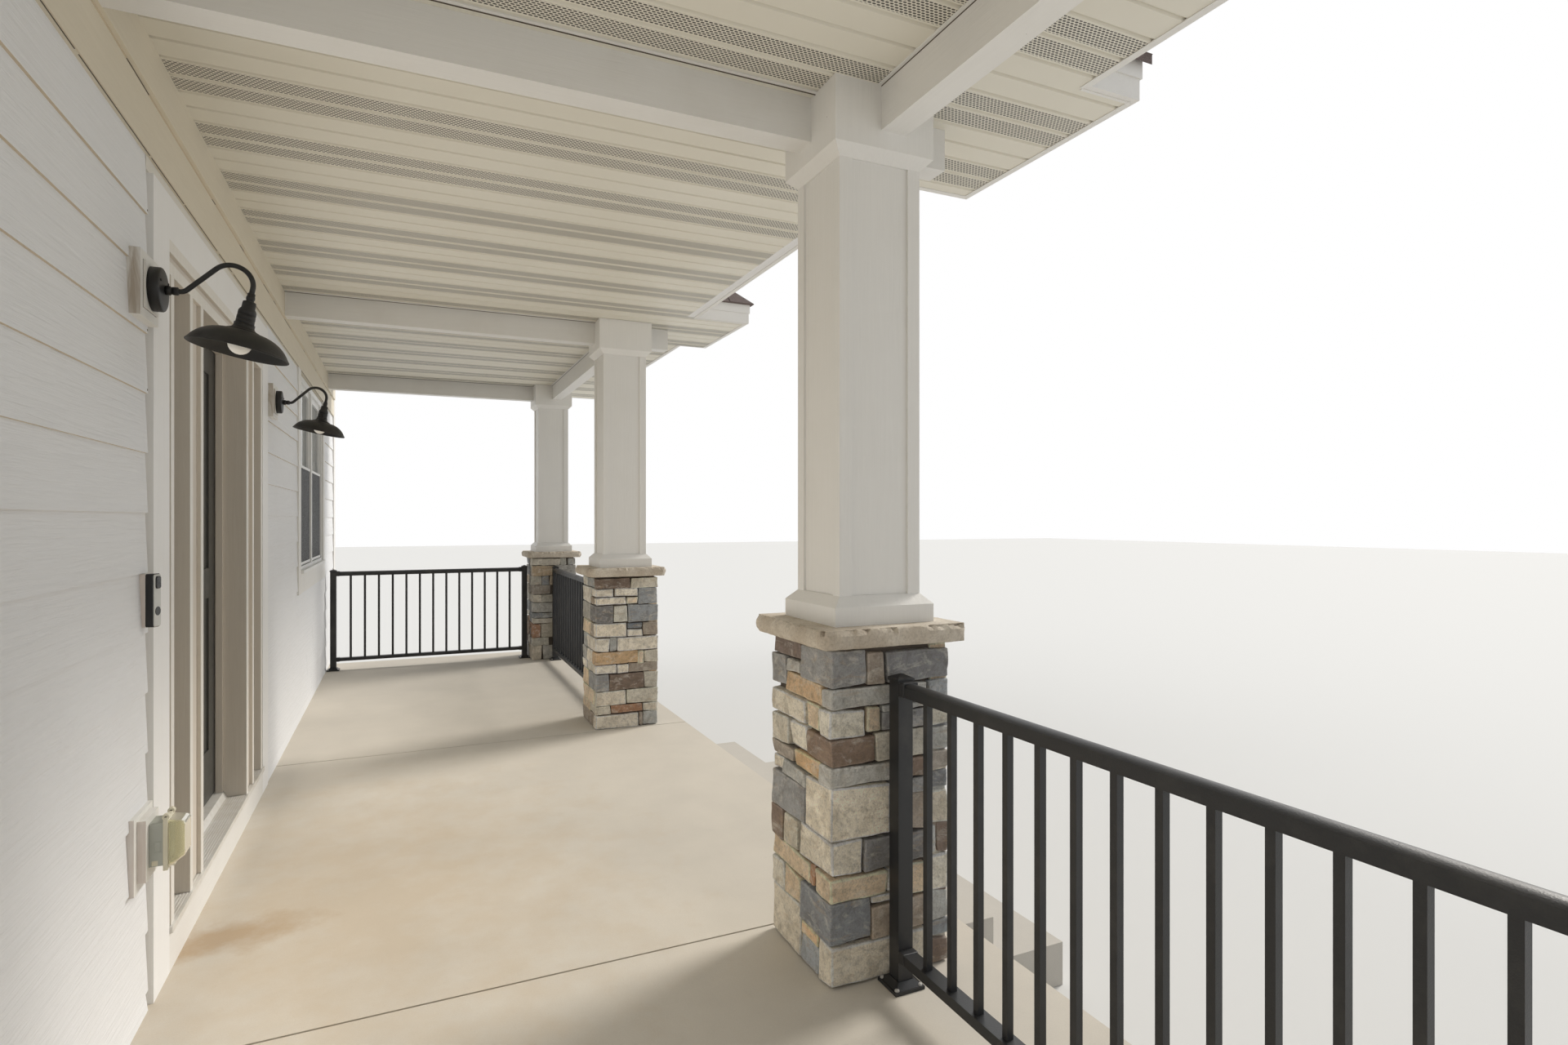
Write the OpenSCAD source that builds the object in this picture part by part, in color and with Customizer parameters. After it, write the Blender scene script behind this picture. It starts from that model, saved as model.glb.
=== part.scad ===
// Covered front porch of a house: a concrete floor with steps, stone piers under square
// columns, a flat ceiling below a hipped roof, an entry gable with two boxed returns,
// black railings, and the house wall behind it with its entry and windows.
// X runs along the house, -Y points to the street and +Z is up. The origin lies at ground
// level, on the centre line of the entry and in the plane of the wall's outer face.

/* [Floor and steps] */
// Height of the porch floor over the ground
floor_z = 533; // [480:1:600]
// Depth of the floor from the wall to its front edge
porch_depth = 2438; // [2300:1:2700]
// Thickness of the poured floor slab
slab_t = 130; // [100:1:160]
// Floor beyond the outer faces of the end piers
floor_margin = 192; // [150:1:300]
// Distance of each control joint from the centre line
joint_x = 1410; // [1200:1:1420]
// Width of a control joint
joint_w = 8; // [5:1:12]
// Depth of a control joint
joint_d = 25; // [10:1:40]
// Depth of one step tread
tread_d = 360; // [300:1:420]
// Width of the steps
step_w = 2800; // [2400:1:2860]

/* [Piers and columns] */
// Distance between the two entry columns, centre to centre
entry_bay = 3284; // [3200:1:3600]
// Distance from an entry column to its end column, centre to centre
side_bay = 2956; // [2700:1:3100]
// Distance from the columns' centre line to the floor's front edge
column_setback = 402; // [360:1:440]
// Width of a stone pier
pier_w = 420; // [390:1:450]
// Height of a stone pier below its cap
pier_h = 1016; // [960:1:1100]
// Width of the stone cap
cap_w = 508; // [490:1:530]
// Thickness of the stone cap
cap_t = 57; // [45:1:70]
// Length cut off each corner of the cap
cap_clip = 22; // [10:1:35]
// How far the middle of the cap's edge stands out past its top and bottom edges
cap_bulge = 7; // [3:1:12]
// Width of the square column shaft
shaft_w = 292; // [270:1:310]
// Width of the stiles beside each sunk panel of the shaft
stile_w = 44; // [35:1:60]
// Depth of the sunk panels
panel_d = 8; // [4:1:12]
// Width of the column's base and capital
base_w = 356; // [330:1:380]
// Height of the upright band of the base and capital
band_h = 57; // [45:1:70]
// Height of the sloped part of the base and capital
slope_h = 32; // [20:1:45]

/* [Beams and ceiling] */
// Thickness of the ceiling panels
ceiling_t = 12; // [8:1:20]
// Width of a beam
beam_w = 92; // [80:1:120]
// Depth of a beam below the ceiling
beam_h = 140; // [120:1:160]
// Distance of the beams' centre lines from the columns' centre lines
beam_shift = 30; // [0:1:60]
// Gap from the end of a beam's stub to the gable's face
stub_gap = 62; // [20:1:120]

/* [Roof] */
// Overhang of the side eaves past the floor's edge
eave_over = 185; // [120:1:250]
// Overhang of the boxed returns past the floor's edge
return_over = 390; // [320:1:460]
// Overhang of the roof's ends past the end columns' centre lines
end_over = 587; // [500:1:640]
// Width of a boxed return
return_w = 903; // [800:1:1000]
// Height of the eave board
fascia_h = 125; // [110:1:150]
// Height of the lower one of its two boards
fascia_low_h = 68; // [50:1:80]
// Thickness of the eave board
fascia_t = 25; // [20:1:35]
// Step between its two boards
fascia_step = 6; // [3:1:9]
// Overhang of the roof's edge past the eave board
drip = 20; // [10:1:35]
// Thickness of the roof deck with its shingles, measured upright
deck_t = 30; // [24:1:45]
// Angle of the side roofs
main_angle = 22.6; // [18:0.1:26]
// Angle of the entry gable
gable_angle = 39.8; // [37:0.1:45]
// Angle of the small roofs on the returns
return_angle = 45; // [37:0.1:49]
// Depth of the gable's sloped edge boards, measured upright
rake_h = 180; // [140:1:220]
// Thickness of the gable's front wall
gable_t = 60; // [40:1:100]
// Height of the house wall above the roofs that meet it
upstand = 120; // [80:1:200]

/* [House wall] */
// Thickness of the house wall
wall_t = 140; // [130:1:190]
// Distance of the house's corners past the ends of the roof
house_margin = 365; // [300:1:700]
// Thickness of the flat trim boards on the wall
trim_t = 25; // [19:1:32]
// Height of the frieze boards below the ceiling
frieze_h = 305; // [280:1:320]
// Thickness of the deeper band at the top of the frieze
frieze_top_t = 38; // [36:1:55]
// Width of the corner boards
corner_w = 140; // [90:1:160]

/* [Entry] */
// Width of the door leaf
door_w = 864; // [813:1:914]
// Height of the door leaf
door_h = 1981; // [1960:1:2020]
// Thickness of the door leaf
door_t = 44; // [40:1:50]
// Gap around the door leaf
door_gap = 5; // [5:1:8]
// Height of the entry's sill plate over the floor
sill_z = 140; // [120:1:160]
// Thickness of the sill plate
sill_t = 20; // [15:1:25]
// Width of a sidelight between the post and the outer jamb
sidelight_w = 210; // [190:1:250]
// Width of a post between the door and a sidelight
post_w = 198; // [160:1:220]
// Thickness of the entry's outer jambs
jamb_t = 56; // [45:1:70]
// Width of the casing boards beside the entry
casing_w = 176; // [150:1:184]
// Height of the front face of the entry's head
head_face_h = 107; // [95:1:130]
// Height of the casing board over that face
head_board_h = 134; // [110:1:180]
// Space between this board and the frieze
head_space = 40; // [20:1:60]

/* [Windows] */
// Distance of a window's centre from the centre line
window_x = 3420; // [3300:1:3500]
// Width of a window opening
window_w = 1676; // [1500:1:1800]
// Height of a window opening
window_h = 1400; // [1200:1:1400]
// Height of the frieze's lower edge over a window opening
window_drop = 18; // [10:1:40]
// Width of a window's casing boards
window_casing = 140; // [90:1:150]
// Width of the bars of a window's frame
frame_w = 42; // [35:1:60]
// Width of the bars of a sash
sash_w = 38; // [30:1:50]

/* [Railings] */
// Height of the top rail over the floor
rail_h = 914; // [880:1:940]
// Width of a rail post
rail_post_w = 50; // [45:1:60]
// Width of a top rail
rail_w = 46; // [40:1:50]
// Depth of a top rail
top_rail_h = 40; // [35:1:45]
// Gap below a bottom rail
rail_gap = 85; // [75:1:100]
// Depth of a bottom rail
bottom_rail_h = 30; // [25:1:40]
// Width of a baluster
baluster_w = 19; // [16:1:25]
// Largest distance between balusters, centre to centre
baluster_step = 118; // [100:1:125]
// Width of a post's foot plate
foot_w = 102; // [96:1:110]

/* [Wall lights] */
// Distance between the entry's casing and the blocks behind the lights
light_gap = 32; // [10:1:80]
// Height of the entry's head over the centre of a light's wall plate
light_drop = 121; // [90:1:200]
// Width of the white blocks behind the lights
block_w = 176; // [150:1:206]
// Height of these blocks
block_h = 178; // [150:1:206]
// Thickness of these blocks
block_t = 50; // [36:1:60]
// Radius of the light's round wall plate
plate_r = 61; // [50:1:75]
// Thickness of the round wall plate
plate_t = 28; // [18:1:34]
// Radius of the light's arm
arm_r = 7; // [6:1:10]
// Radius of the light's shade at its rim
shade_r = 130; // [115:1:150]
// Height of the shade with its neck
shade_h = 82; // [65:1:95]
// Height of the shade's dome over its rim
dome_h = 48; // [36:1:50]
// Angle at which the shade leans towards the wall
shade_lean = 11; // [0:1:15]
// Radius of the bulb
bulb_r = 30; // [24:1:34]
// Height of the bulb's middle over the shade's rim
bulb_up = 22; // [12:1:30]

/* [Bell and outlet] */
// Distance of the bell from the centre line
bell_x = 1150; // [1140:1:1200]
// Height of the bell over the floor, at its centre
bell_z = 1171; // [1050:1:1250]
// Height of the outlet over the floor, at its centre
outlet_z = 494; // [400:1:600]

/* [Hidden] */
$fn = 48;

// Small overshoot of the cutting solids
eps = 1;

// Bell with its wedge, and outlet with its cover
bell_w = 34;
bell_h = 150;
bell_t = 22;
wedge_low = 27;
wedge_high = 37;
outlet_w = 176;
outlet_h = 206;
outlet_rim = 26;
outlet_rim_t = 30;
box_w = 72;
box_h = 118;
box_t = 32;
cover_up = 13;
cover_w = 80;
cover_h = 145;
cover_t = 11;
lid_w = 72;
lid_h = 128;
lid_t = 43;
lid_slope = 24;
lid_top = 6;
knuckle_r = 9;
knuckle_w = 15;

// Colours
concrete = [0.74, 0.71, 0.66];
white = [0.93, 0.92, 0.89];
siding = [0.90, 0.91, 0.92];
stone = [0.55, 0.53, 0.49];
limestone = [0.80, 0.75, 0.65];
shingle = [0.27, 0.22, 0.21];
black = [0.07, 0.07, 0.08];
glass = [0.45, 0.52, 0.55];
taupe = [0.62, 0.57, 0.52];

// Plan of the columns
column_y = -(porch_depth - column_setback);
entry_x = entry_bay / 2;
end_x = entry_x + side_bay;
column_xs = [-end_x, -entry_x, entry_x, end_x];
floor_half = end_x + pier_w / 2 + floor_margin;

// Entry unit
door_half = door_w / 2 + door_gap;
light_in = door_half + post_w;
light_out = light_in + sidelight_w;
casing_in = light_out + jamb_t;
casing_out = casing_in + casing_w;
sill_top = floor_z + sill_z;
hump_h = 26;
hump_d = 90;
hump_slope = 12;
leaf_z = sill_top + hump_h + door_gap;
head_z = leaf_z + door_h + door_gap;
light_z = head_z - floor_z - light_drop;
head_t = 60;
leaf_y = wall_t - door_t;
stop_w = 14;
stop_d = 25;
strip_w = 38;
strip_d = 13;
sill_nose = 8;
rib_step = 9;
rib_h = 2;

// Levels over the ground
step_rise = floor_z / 3;
frieze_z = head_z + head_face_h + head_board_h + head_space - floor_z;
ceiling_h = frieze_z + frieze_h;
ceiling_z = floor_z + ceiling_h;
cap_z = floor_z + pier_h;
base_z = cap_z + cap_t;
beam_z = ceiling_z - beam_h;
capital_z = beam_z - band_h - slope_h;
shaft_z = base_z + band_h + slope_h;
fascia_z = ceiling_z + fascia_h;

// Plan of the roof's edges
mid_y = -porch_depth;
eave_y = -(porch_depth + eave_over);
return_y = -(porch_depth + return_over);
roof_x = end_x + end_over;
house_half = roof_x + house_margin;
return_in = entry_x - return_w / 2;
return_out = entry_x + return_w / 2;

// Slopes of the roofs, and where they end at the wall
main_slope = tan(main_angle);
gable_slope = tan(gable_angle);
return_slope = tan(return_angle);
main_top = fascia_z - eave_y * main_slope + deck_t;
gable_top = fascia_z + return_out * gable_slope + deck_t;
flat_z = main_top + upstand;
peak_z = gable_top + upstand;

// Play between the roofs and what they rest on
roof_seat = 0.2;

// Door leaf
stile = 120;
top_bar = 120;
lock_bar = 130;
bottom_bar = 220;
field_d = 8;
field_split = 0.56;
hinge_r = 7;
hinge_l = 100;
hinge_seat = 0.3;
hinge_x = door_half - door_gap / 2;
hinge_y = wall_t + hinge_r + hinge_seat;
hinge_in = 200;
hinge_leaf_w = 32;
hinge_leaf_t = 3;
hinge_play = 0.5;
hinge_zs = [leaf_z + hinge_in, leaf_z + (door_h - hinge_l) / 2,
    leaf_z + door_h - hinge_in - hinge_l];
handle_z = 960;
handle_in = 70;
handle_plate_w = 58;
handle_plate_h = 190;
handle_plate_t = 8;
grip_r = 11;
grip_l = 190;
grip_out = 48;
bolt_z = 1110;
bolt_r = 27;
bolt_t = 14;

// Windows
window_top = frieze_z - window_drop;
window_bottom = window_top - window_h;
window_face = 12;
window_depth = 90;
unit_gap = 56;
unit_w = (window_w - 2 * frame_w - unit_gap) / 2;
pane_t = 6;
sash_d = 34;
upper_y = 6;
lower_y = upper_y + sash_d;
meeting_z = window_bottom + frame_w + (window_h - 2 * frame_w) * 0.53;
sill_lip = 30;

// Railing plan
post_clear = 2;
post_off = foot_w / 2 + post_clear;
side_post_in = entry_x + pier_w / 2 + post_off;
side_post_out = end_x - pier_w / 2 - post_off;
end_post_wall = -(trim_t + post_off);
end_post_pier = column_y + pier_w / 2 + post_off;
post_top = 22;
post_cap_w = rail_post_w + 8;
post_cap_h = 12;
cap_band = 10;
cap_point = 4;
foot_t = 10;
skirt_w = foot_w - 12;
skirt_h = 16;
skirt_lip = 3;

// The two sides of the centre line
sides = [-1, 1];

// A centred box with its foot at a given level
module block(w, d, h, x = 0, y = 0, z = 0) {
    translate([x - w / 2, y - d / 2, z]) cube([w, d, h]);
}

// An outline in X and Z pushed along Y, from y0 to y1
module along_y(y0, y1) {
    translate([0, y1, 0]) rotate([90, 0, 0]) linear_extrude(height = y1 - y0) children();
}

// An outline in Y and Z pushed along X, from x0 to x1
module along_x(x0, x1) {
    translate([x0, 0, 0]) rotate([90, 0, 90]) linear_extrude(height = x1 - x0) children();
}

// Both sides of the centre line
module both() {
    children();
    mirror([1, 0, 0]) children();
}

// Foundation with the house's own footing and the curb under the entry
module foundation() {
    color(concrete) union() {
        translate([-floor_half, -porch_depth, 0])
            cube([2 * floor_half, porch_depth, floor_z - slab_t]);
        translate([-house_half, 0, 0]) cube([2 * house_half, wall_t, floor_z]);
        translate([-casing_in, 0, floor_z]) cube([2 * casing_in, wall_t, sill_z - sill_t]);
    }
}

// Poured floor with two control joints
module porch_slab() {
    color(concrete) difference() {
        translate([-floor_half, -porch_depth, floor_z - slab_t])
            cube([2 * floor_half, porch_depth, slab_t]);
        for (side = sides)
            block(joint_w, 2 * porch_depth + 2 * eps, joint_d + eps, side * joint_x, 0,
                floor_z - joint_d);
    }
}

// One poured step, counted down from the floor
module step(count) {
    color(concrete)
        translate([-step_w / 2, -porch_depth - count * tread_d, 0])
            cube([step_w, tread_d, floor_z - count * step_rise]);
}

module upper_step() {
    step(1);
}

module lower_step() {
    step(2);
}

// Outline of the whole house wall, with a peak that follows the entry gable
module wall_outline() {
    bend_x = (peak_z - flat_z) / gable_slope;
    polygon([
        [-house_half, floor_z], [-house_half, flat_z], [-bend_x, flat_z], [0, peak_z],
        [bend_x, flat_z], [house_half, flat_z], [house_half, floor_z],
    ]);
}

// House wall right of the entry, with its window opening
module side_wall() {
    color(siding) difference() {
        along_y(0, wall_t) intersection() {
            wall_outline();
            translate([casing_in, 0]) square([house_half, peak_z]);
        }
        block(window_w, 4 * wall_t, window_h, window_x, 0, floor_z + window_bottom);
    }
}

module wall_right() {
    side_wall();
}

module wall_left() {
    mirror([1, 0, 0]) side_wall();
}

// House wall over the entry, up to its peak
module wall_over_door() {
    color(siding) along_y(0, wall_t) intersection() {
        wall_outline();
        translate([-casing_in, head_z + head_t]) square([2 * casing_in, peak_z]);
    }
}

// Frieze along the top of the wall, with its deeper upper band
module frieze_boards() {
    half = house_half - corner_w;
    color(white) along_x(-half, half) polygon([
        [0, floor_z + frieze_z], [-trim_t, floor_z + frieze_z], [-trim_t, beam_z],
        [-frieze_top_t, beam_z], [-frieze_top_t, ceiling_z], [0, ceiling_z],
    ]);
}

// Boards that wrap the house's corners
module corner_boards() {
    color(white) both() translate([0, 0, floor_z]) linear_extrude(height = flat_z - floor_z) polygon([
        [house_half - corner_w, 0], [house_half - corner_w, -trim_t],
        [house_half + trim_t, -trim_t], [house_half + trim_t, wall_t],
        [house_half, wall_t], [house_half, 0],
    ]);
}

// Plan of a post between the door and a sidelight: raised strips beside a sunk face, and the
// stop that the door leaf closes on
module post_plan() {
    polygon([
        [door_half, leaf_y - stop_d - door_gap], [door_half, -trim_t],
        [door_half + strip_w, -trim_t], [door_half + strip_w, -trim_t + strip_d],
        [light_in - strip_w, -trim_t + strip_d], [light_in - strip_w, -trim_t],
        [light_in, -trim_t], [light_in, wall_t], [door_half, wall_t],
        [door_half, leaf_y - door_gap], [door_half - stop_w, leaf_y - door_gap],
        [door_half - stop_w, leaf_y - stop_d - door_gap],
    ]);
}

// Plan of an outer jamb: a raised strip beside the sidelight, and a sunk band
module jamb_plan() {
    polygon([
        [light_out, wall_t], [light_out, -trim_t], [light_out + strip_w, -trim_t],
        [light_out + strip_w, -trim_t + strip_d], [casing_in, -trim_t + strip_d], [casing_in, wall_t],
    ]);
}

// Section of the head, with a sunk band between two raised strips on its front face
module head_section() {
    z1 = head_z + head_face_h;
    polygon([
        [wall_t, head_z], [-trim_t, head_z], [-trim_t, head_z + strip_w],
        [-trim_t + strip_d, head_z + strip_w], [-trim_t + strip_d, z1 - strip_w],
        [-trim_t, z1 - strip_w], [-trim_t, z1], [0, z1], [0, head_z + head_t],
        [wall_t, head_z + head_t],
    ]);
}

// Frame of the entry: two posts with the door's stops, outer jambs and the head over them
module entry_frame() {
    post_h = head_z - sill_top;
    color(white) union() {
        both() difference() {
            translate([0, 0, sill_top]) linear_extrude(height = post_h + eps) {
                post_plan();
                jamb_plan();
            }
            translate([door_half - stop_w - eps, 0, sill_top - eps])
                cube([stop_w + eps, leaf_y, hump_h + eps]);
        }
        along_x(-casing_in, casing_in) head_section();
        translate([-door_half, leaf_y - stop_d - door_gap, head_z - stop_w])
            cube([2 * door_half, stop_d, stop_w + eps]);
    }
}

// Flat casing boards beside and over the entry
module entry_casing() {
    inner_z = head_z + head_face_h;
    outer_z = inner_z + head_board_h;
    color(white) along_y(-trim_t, 0) polygon([
        [-casing_out, floor_z], [-casing_out, outer_z],
        [casing_out, outer_z], [casing_out, floor_z],
        [casing_in, floor_z], [casing_in, inner_z], [-casing_in, inner_z], [-casing_in, floor_z],
    ]);
}

// Ribbed sill plate under the whole entry unit, with the hump under the door leaf
module entry_sill() {
    z0 = sill_top - sill_t;
    y0 = -trim_t - sill_nose;
    hump_y = wall_t - hump_d;
    rib_n = floor((hump_y - y0) / rib_step) - 1;
    color(limestone) difference() {
        along_x(-casing_in, casing_in) polygon([
            [y0, z0], [y0, sill_top], [hump_y, sill_top], [hump_y + hump_slope, sill_top + hump_h],
            [wall_t, sill_top + hump_h], [wall_t, z0],
        ]);
        for (side = sides)
            translate([side * (door_half + casing_in) / 2 - (casing_in - door_half) / 2 - eps,
                hump_y, sill_top])
                cube([casing_in - door_half + 2 * eps, hump_d + eps, hump_h + eps]);
        for (i = [1 : rib_n])
            translate([-casing_in - eps, y0 + i * rib_step, sill_top - rib_h])
                cube([2 * casing_in + 2 * eps, rib_step / 2, rib_h + eps]);
    }
}

// Skirt board under the sill
module entry_riser() {
    color(white) translate([-casing_in, -trim_t, floor_z])
        cube([2 * casing_in, trim_t, sill_z - sill_t]);
}

// A sash of four bars around one pane, with its lower left corner at x and z
module sash(x, z, w, h, y, bar) {
    difference() {
        translate([x, y, z]) cube([w, sash_d, h]);
        translate([x + bar, y - eps, z + bar]) cube([w - 2 * bar, sash_d + 2 * eps, h - 2 * bar]);
    }
}

// The pane in that sash
module pane(x, z, w, h, y, bar) {
    translate([x + bar, y + (sash_d - pane_t) / 2, z + bar])
        cube([w - 2 * bar, pane_t, h - 2 * bar]);
}

// Sidelight sashes between the posts
module sidelight_sashes() {
    color(white) both()
        sash(light_in, sill_top, sidelight_w, head_z - sill_top, leaf_y, sash_w);
}

// The four sunk fields of the door leaf, on both faces
module door_fields() {
    field_w = (door_w - 3 * stile) / 2;
    field_h = door_h - top_bar - lock_bar - bottom_bar;
    low_h = field_h * (1 - field_split);
    high_h = field_h * field_split;
    for (x = [-door_w / 2 + stile, stile / 2], y = [leaf_y - eps, wall_t - field_d]) {
        translate([x, y, leaf_z + bottom_bar]) cube([field_w, field_d + eps, low_h]);
        translate([x, y, leaf_z + bottom_bar + low_h + lock_bar])
            cube([field_w, field_d + eps, high_h]);
    }
}

// Door leaf with stiles, bars and sunk fields
module front_door() {
    color(black) difference() {
        translate([-door_w / 2, leaf_y, leaf_z]) cube([door_w, door_t, door_h]);
        door_fields();
    }
}

// Half of a hinge, with its plate on one side and knuckles between heights of its length
module hinge(z, side, parts) {
    edge = hinge_r + hinge_seat;
    union() {
        for (part = parts) translate([hinge_x, 0, z + part[0]]) {
            translate([0, hinge_y, 0]) cylinder(r = hinge_r, h = part[1] - part[0], $fn = 24);
            translate([side < 0 ? -edge : 0, wall_t, 0])
                cube([edge, hinge_leaf_t, part[1] - part[0]]);
        }
        translate([hinge_x + (side < 0 ? -edge - hinge_leaf_w : edge), wall_t, z])
            cube([hinge_leaf_w, hinge_leaf_t, hinge_l]);
    }
}

// Handle plate with its grip, on one face of the leaf
module handle(y, dir) {
    x = -door_w / 2 + handle_in;
    z = leaf_z + handle_z;
    union() {
        block(handle_plate_w, handle_plate_t, handle_plate_h, x, y + dir * handle_plate_t / 2,
            z - handle_plate_h / 2);
        for (end = sides)
            translate([x, y, z + end * (grip_l / 2 - grip_r) * 0.8])
                rotate([dir * -90, 0, 0]) cylinder(r = grip_r * 0.7, h = grip_out, $fn = 24);
        translate([x, y + dir * grip_out, z - grip_l / 2])
            cylinder(r = grip_r, h = grip_l, $fn = 24);
    }
}

// Round cover of the deadbolt, on one face of the leaf
module bolt_cover(y, dir) {
    translate([-door_w / 2 + handle_in, y, leaf_z + bolt_z])
        rotate([dir * -90, 0, 0]) cylinder(r = bolt_r, h = bolt_t);
}

// Halves of the hinges that are fixed to the entry's post
module hinge_plates() {
    color(black) for (z = hinge_zs)
        hinge(z, 1, [[0, hinge_l / 3 - hinge_play], [2 * hinge_l / 3 + hinge_play, hinge_l]]);
}

// Handles, deadbolt and hinge halves on the door leaf
module door_hardware() {
    color(black) {
        handle(leaf_y, -1);
        handle(wall_t, 1);
        bolt_cover(leaf_y, -1);
        bolt_cover(wall_t, 1);
        for (z = hinge_zs) hinge(z, -1, [[hinge_l / 3, 2 * hinge_l / 3]]);
    }
}

// Stone piers under the columns
module stone_piers() {
    color(stone) for (x = column_xs) block(pier_w, pier_w, pier_h, x, column_y, floor_z);
}

// Edge profile of a cap along one axis, with the rough edge that stands out
module cap_profile() {
    polygon([
        [-cap_w / 2, 0], [-cap_w / 2 - cap_bulge, cap_t / 2], [-cap_w / 2, cap_t],
        [cap_w / 2, cap_t], [cap_w / 2 + cap_bulge, cap_t / 2], [cap_w / 2, 0],
    ]);
}

// Plan of a cap with its corners cut off
module cap_plan() {
    r = cap_w / 2 + cap_bulge;
    c = r - cap_clip;
    polygon([[c, -r], [r, -c], [r, c], [c, r], [-c, r], [-r, c], [-r, -c], [-c, -r]]);
}

module pier_cap() {
    r = cap_w / 2 + 2 * cap_bulge;
    intersection() {
        along_y(-r, r) cap_profile();
        along_x(-r, r) cap_profile();
        linear_extrude(height = cap_t) cap_plan();
    }
}

module pier_caps() {
    color(limestone) for (x = column_xs) translate([x, column_y, cap_z]) pier_cap();
}

// Section of a shaft with a sunk panel in each face
module shaft_section() {
    difference() {
        square(shaft_w, center = true);
        for (turn = [0 : 90 : 270])
            rotate(turn) translate([shaft_w / 2 - panel_d, stile_w - shaft_w / 2])
                square([panel_d + eps, shaft_w - 2 * stile_w]);
    }
}

module column_shafts() {
    color(white) for (x = column_xs)
        translate([x, column_y, shaft_z]) linear_extrude(height = capital_z - shaft_z)
            shaft_section();
}

// Side profile of a base: an upright band with a slope up to the shaft
module base_profile() {
    polygon([
        [-base_w / 2, 0], [base_w / 2, 0], [base_w / 2, band_h], [shaft_w / 2, band_h + slope_h],
        [-shaft_w / 2, band_h + slope_h], [-base_w / 2, band_h],
    ]);
}

module column_base() {
    intersection() {
        along_y(-base_w / 2, base_w / 2) base_profile();
        along_x(-base_w / 2, base_w / 2) base_profile();
    }
}

module column_bases() {
    color(white) for (x = column_xs) translate([x, column_y, base_z]) column_base();
}

// Capital, a base turned over, under the block that takes the beams
module column_capitals() {
    color(white) for (x = column_xs) translate([x, column_y, beam_z]) union() {
        mirror([0, 0, 1]) column_base();
        block(base_w, base_w, beam_h);
    }
}

// Beams from the wall to each column, with a stub past the entry columns
module cross_beams() {
    inner_y = column_y + base_w / 2;
    outer_y = column_y - base_w / 2;
    stub_y = mid_y + stub_gap;
    color(white) for (x = column_xs) {
        translate([x + beam_shift - beam_w / 2, inner_y, beam_z])
            cube([beam_w, -frieze_top_t - inner_y, beam_h]);
        if (abs(x) < end_x)
            translate([x + beam_shift - beam_w / 2, stub_y, beam_z])
                cube([beam_w, outer_y - stub_y, beam_h]);
    }
}

// Beams along the front of the two side bays
module front_beams() {
    color(white) both()
        translate([entry_x + base_w / 2, column_y - beam_shift - beam_w / 2, beam_z])
            cube([side_bay - base_w, beam_w, beam_h]);
}

// Plan of the right part of the roof's edge, drawn in from its faces by a margin
module edge_plan(inset, over) {
    polygon([
        [return_in - over, over], [roof_x - inset, over], [roof_x - inset, eave_y + inset],
        [return_out - inset, eave_y + inset], [return_out - inset, return_y + inset],
        [return_in + inset, return_y + inset], [return_in + inset, mid_y],
        [return_in - over, mid_y],
    ]);
}

// Ceiling of a side bay with the underside of its return
module side_ceiling() {
    color(white) translate([0, 0, ceiling_z]) linear_extrude(height = ceiling_t)
        edge_plan(fascia_t, 0);
}

module ceiling_right() {
    side_ceiling();
}

module ceiling_left() {
    mirror([1, 0, 0]) side_ceiling();
}

// Ceiling of the entry bay, out to the gable's face
module ceiling_mid() {
    color(white) translate([-return_in, mid_y + gable_t, ceiling_z])
        cube([2 * return_in, -mid_y - gable_t, ceiling_t]);
}

// Eave board around a side roof and its return, as two stepped boards
module side_fascia() {
    color(white) union() {
        translate([0, 0, ceiling_z]) linear_extrude(height = fascia_low_h) difference() {
            edge_plan(fascia_step, 0);
            edge_plan(fascia_t, eps);
        }
        translate([0, 0, ceiling_z + fascia_low_h])
            linear_extrude(height = fascia_h - fascia_low_h) difference() {
                edge_plan(0, 0);
                edge_plan(fascia_t, eps);
            }
    }
}

module fascia_right() {
    side_fascia();
}

module fascia_left() {
    mirror([1, 0, 0]) side_fascia();
}

// Solid under the hipped side roofs, moved up by a height
module under_main(lift) {
    run = drip - eave_y;
    edge_z = fascia_z - drip * main_slope + lift;
    foot_z = fascia_z - 2 * deck_t;
    edge_x = roof_x + drip;
    intersection() {
        along_x(-edge_x, edge_x) polygon([
            [eave_y - drip, foot_z], [eave_y - drip, edge_z], [0, edge_z + run * main_slope],
            [0, foot_z],
        ]);
        along_y(eave_y - drip, 0) polygon([
            [-edge_x, foot_z], [-edge_x, edge_z], [-edge_x + run, edge_z + run * main_slope],
            [edge_x - run, edge_z + run * main_slope], [edge_x, edge_z], [edge_x, foot_z],
        ]);
    }
}

// Solid under the entry gable, moved up by a height, between two planes
module under_gable(lift, y0, y1) {
    edge_x = return_out + drip;
    edge_z = fascia_z - drip * gable_slope + lift;
    foot_z = fascia_z - 4 * deck_t;
    along_y(y0, y1) polygon([
        [-edge_x, foot_z], [-edge_x, edge_z], [0, edge_z + edge_x * gable_slope],
        [edge_x, edge_z], [edge_x, foot_z],
    ]);
}

// Hipped side roofs, cut open where the gable runs back to the wall
module main_roof() {
    color(shingle) difference() {
        under_main(deck_t);
        under_main(0);
        translate([-house_half, eave_y - 2 * drip, fascia_z - 3 * deck_t])
            cube([2 * house_half, 2 * drip - eave_y, 3 * deck_t - drip * main_slope]);
        under_gable(deck_t, eave_y - 2 * drip, eps);
    }
}

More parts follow.
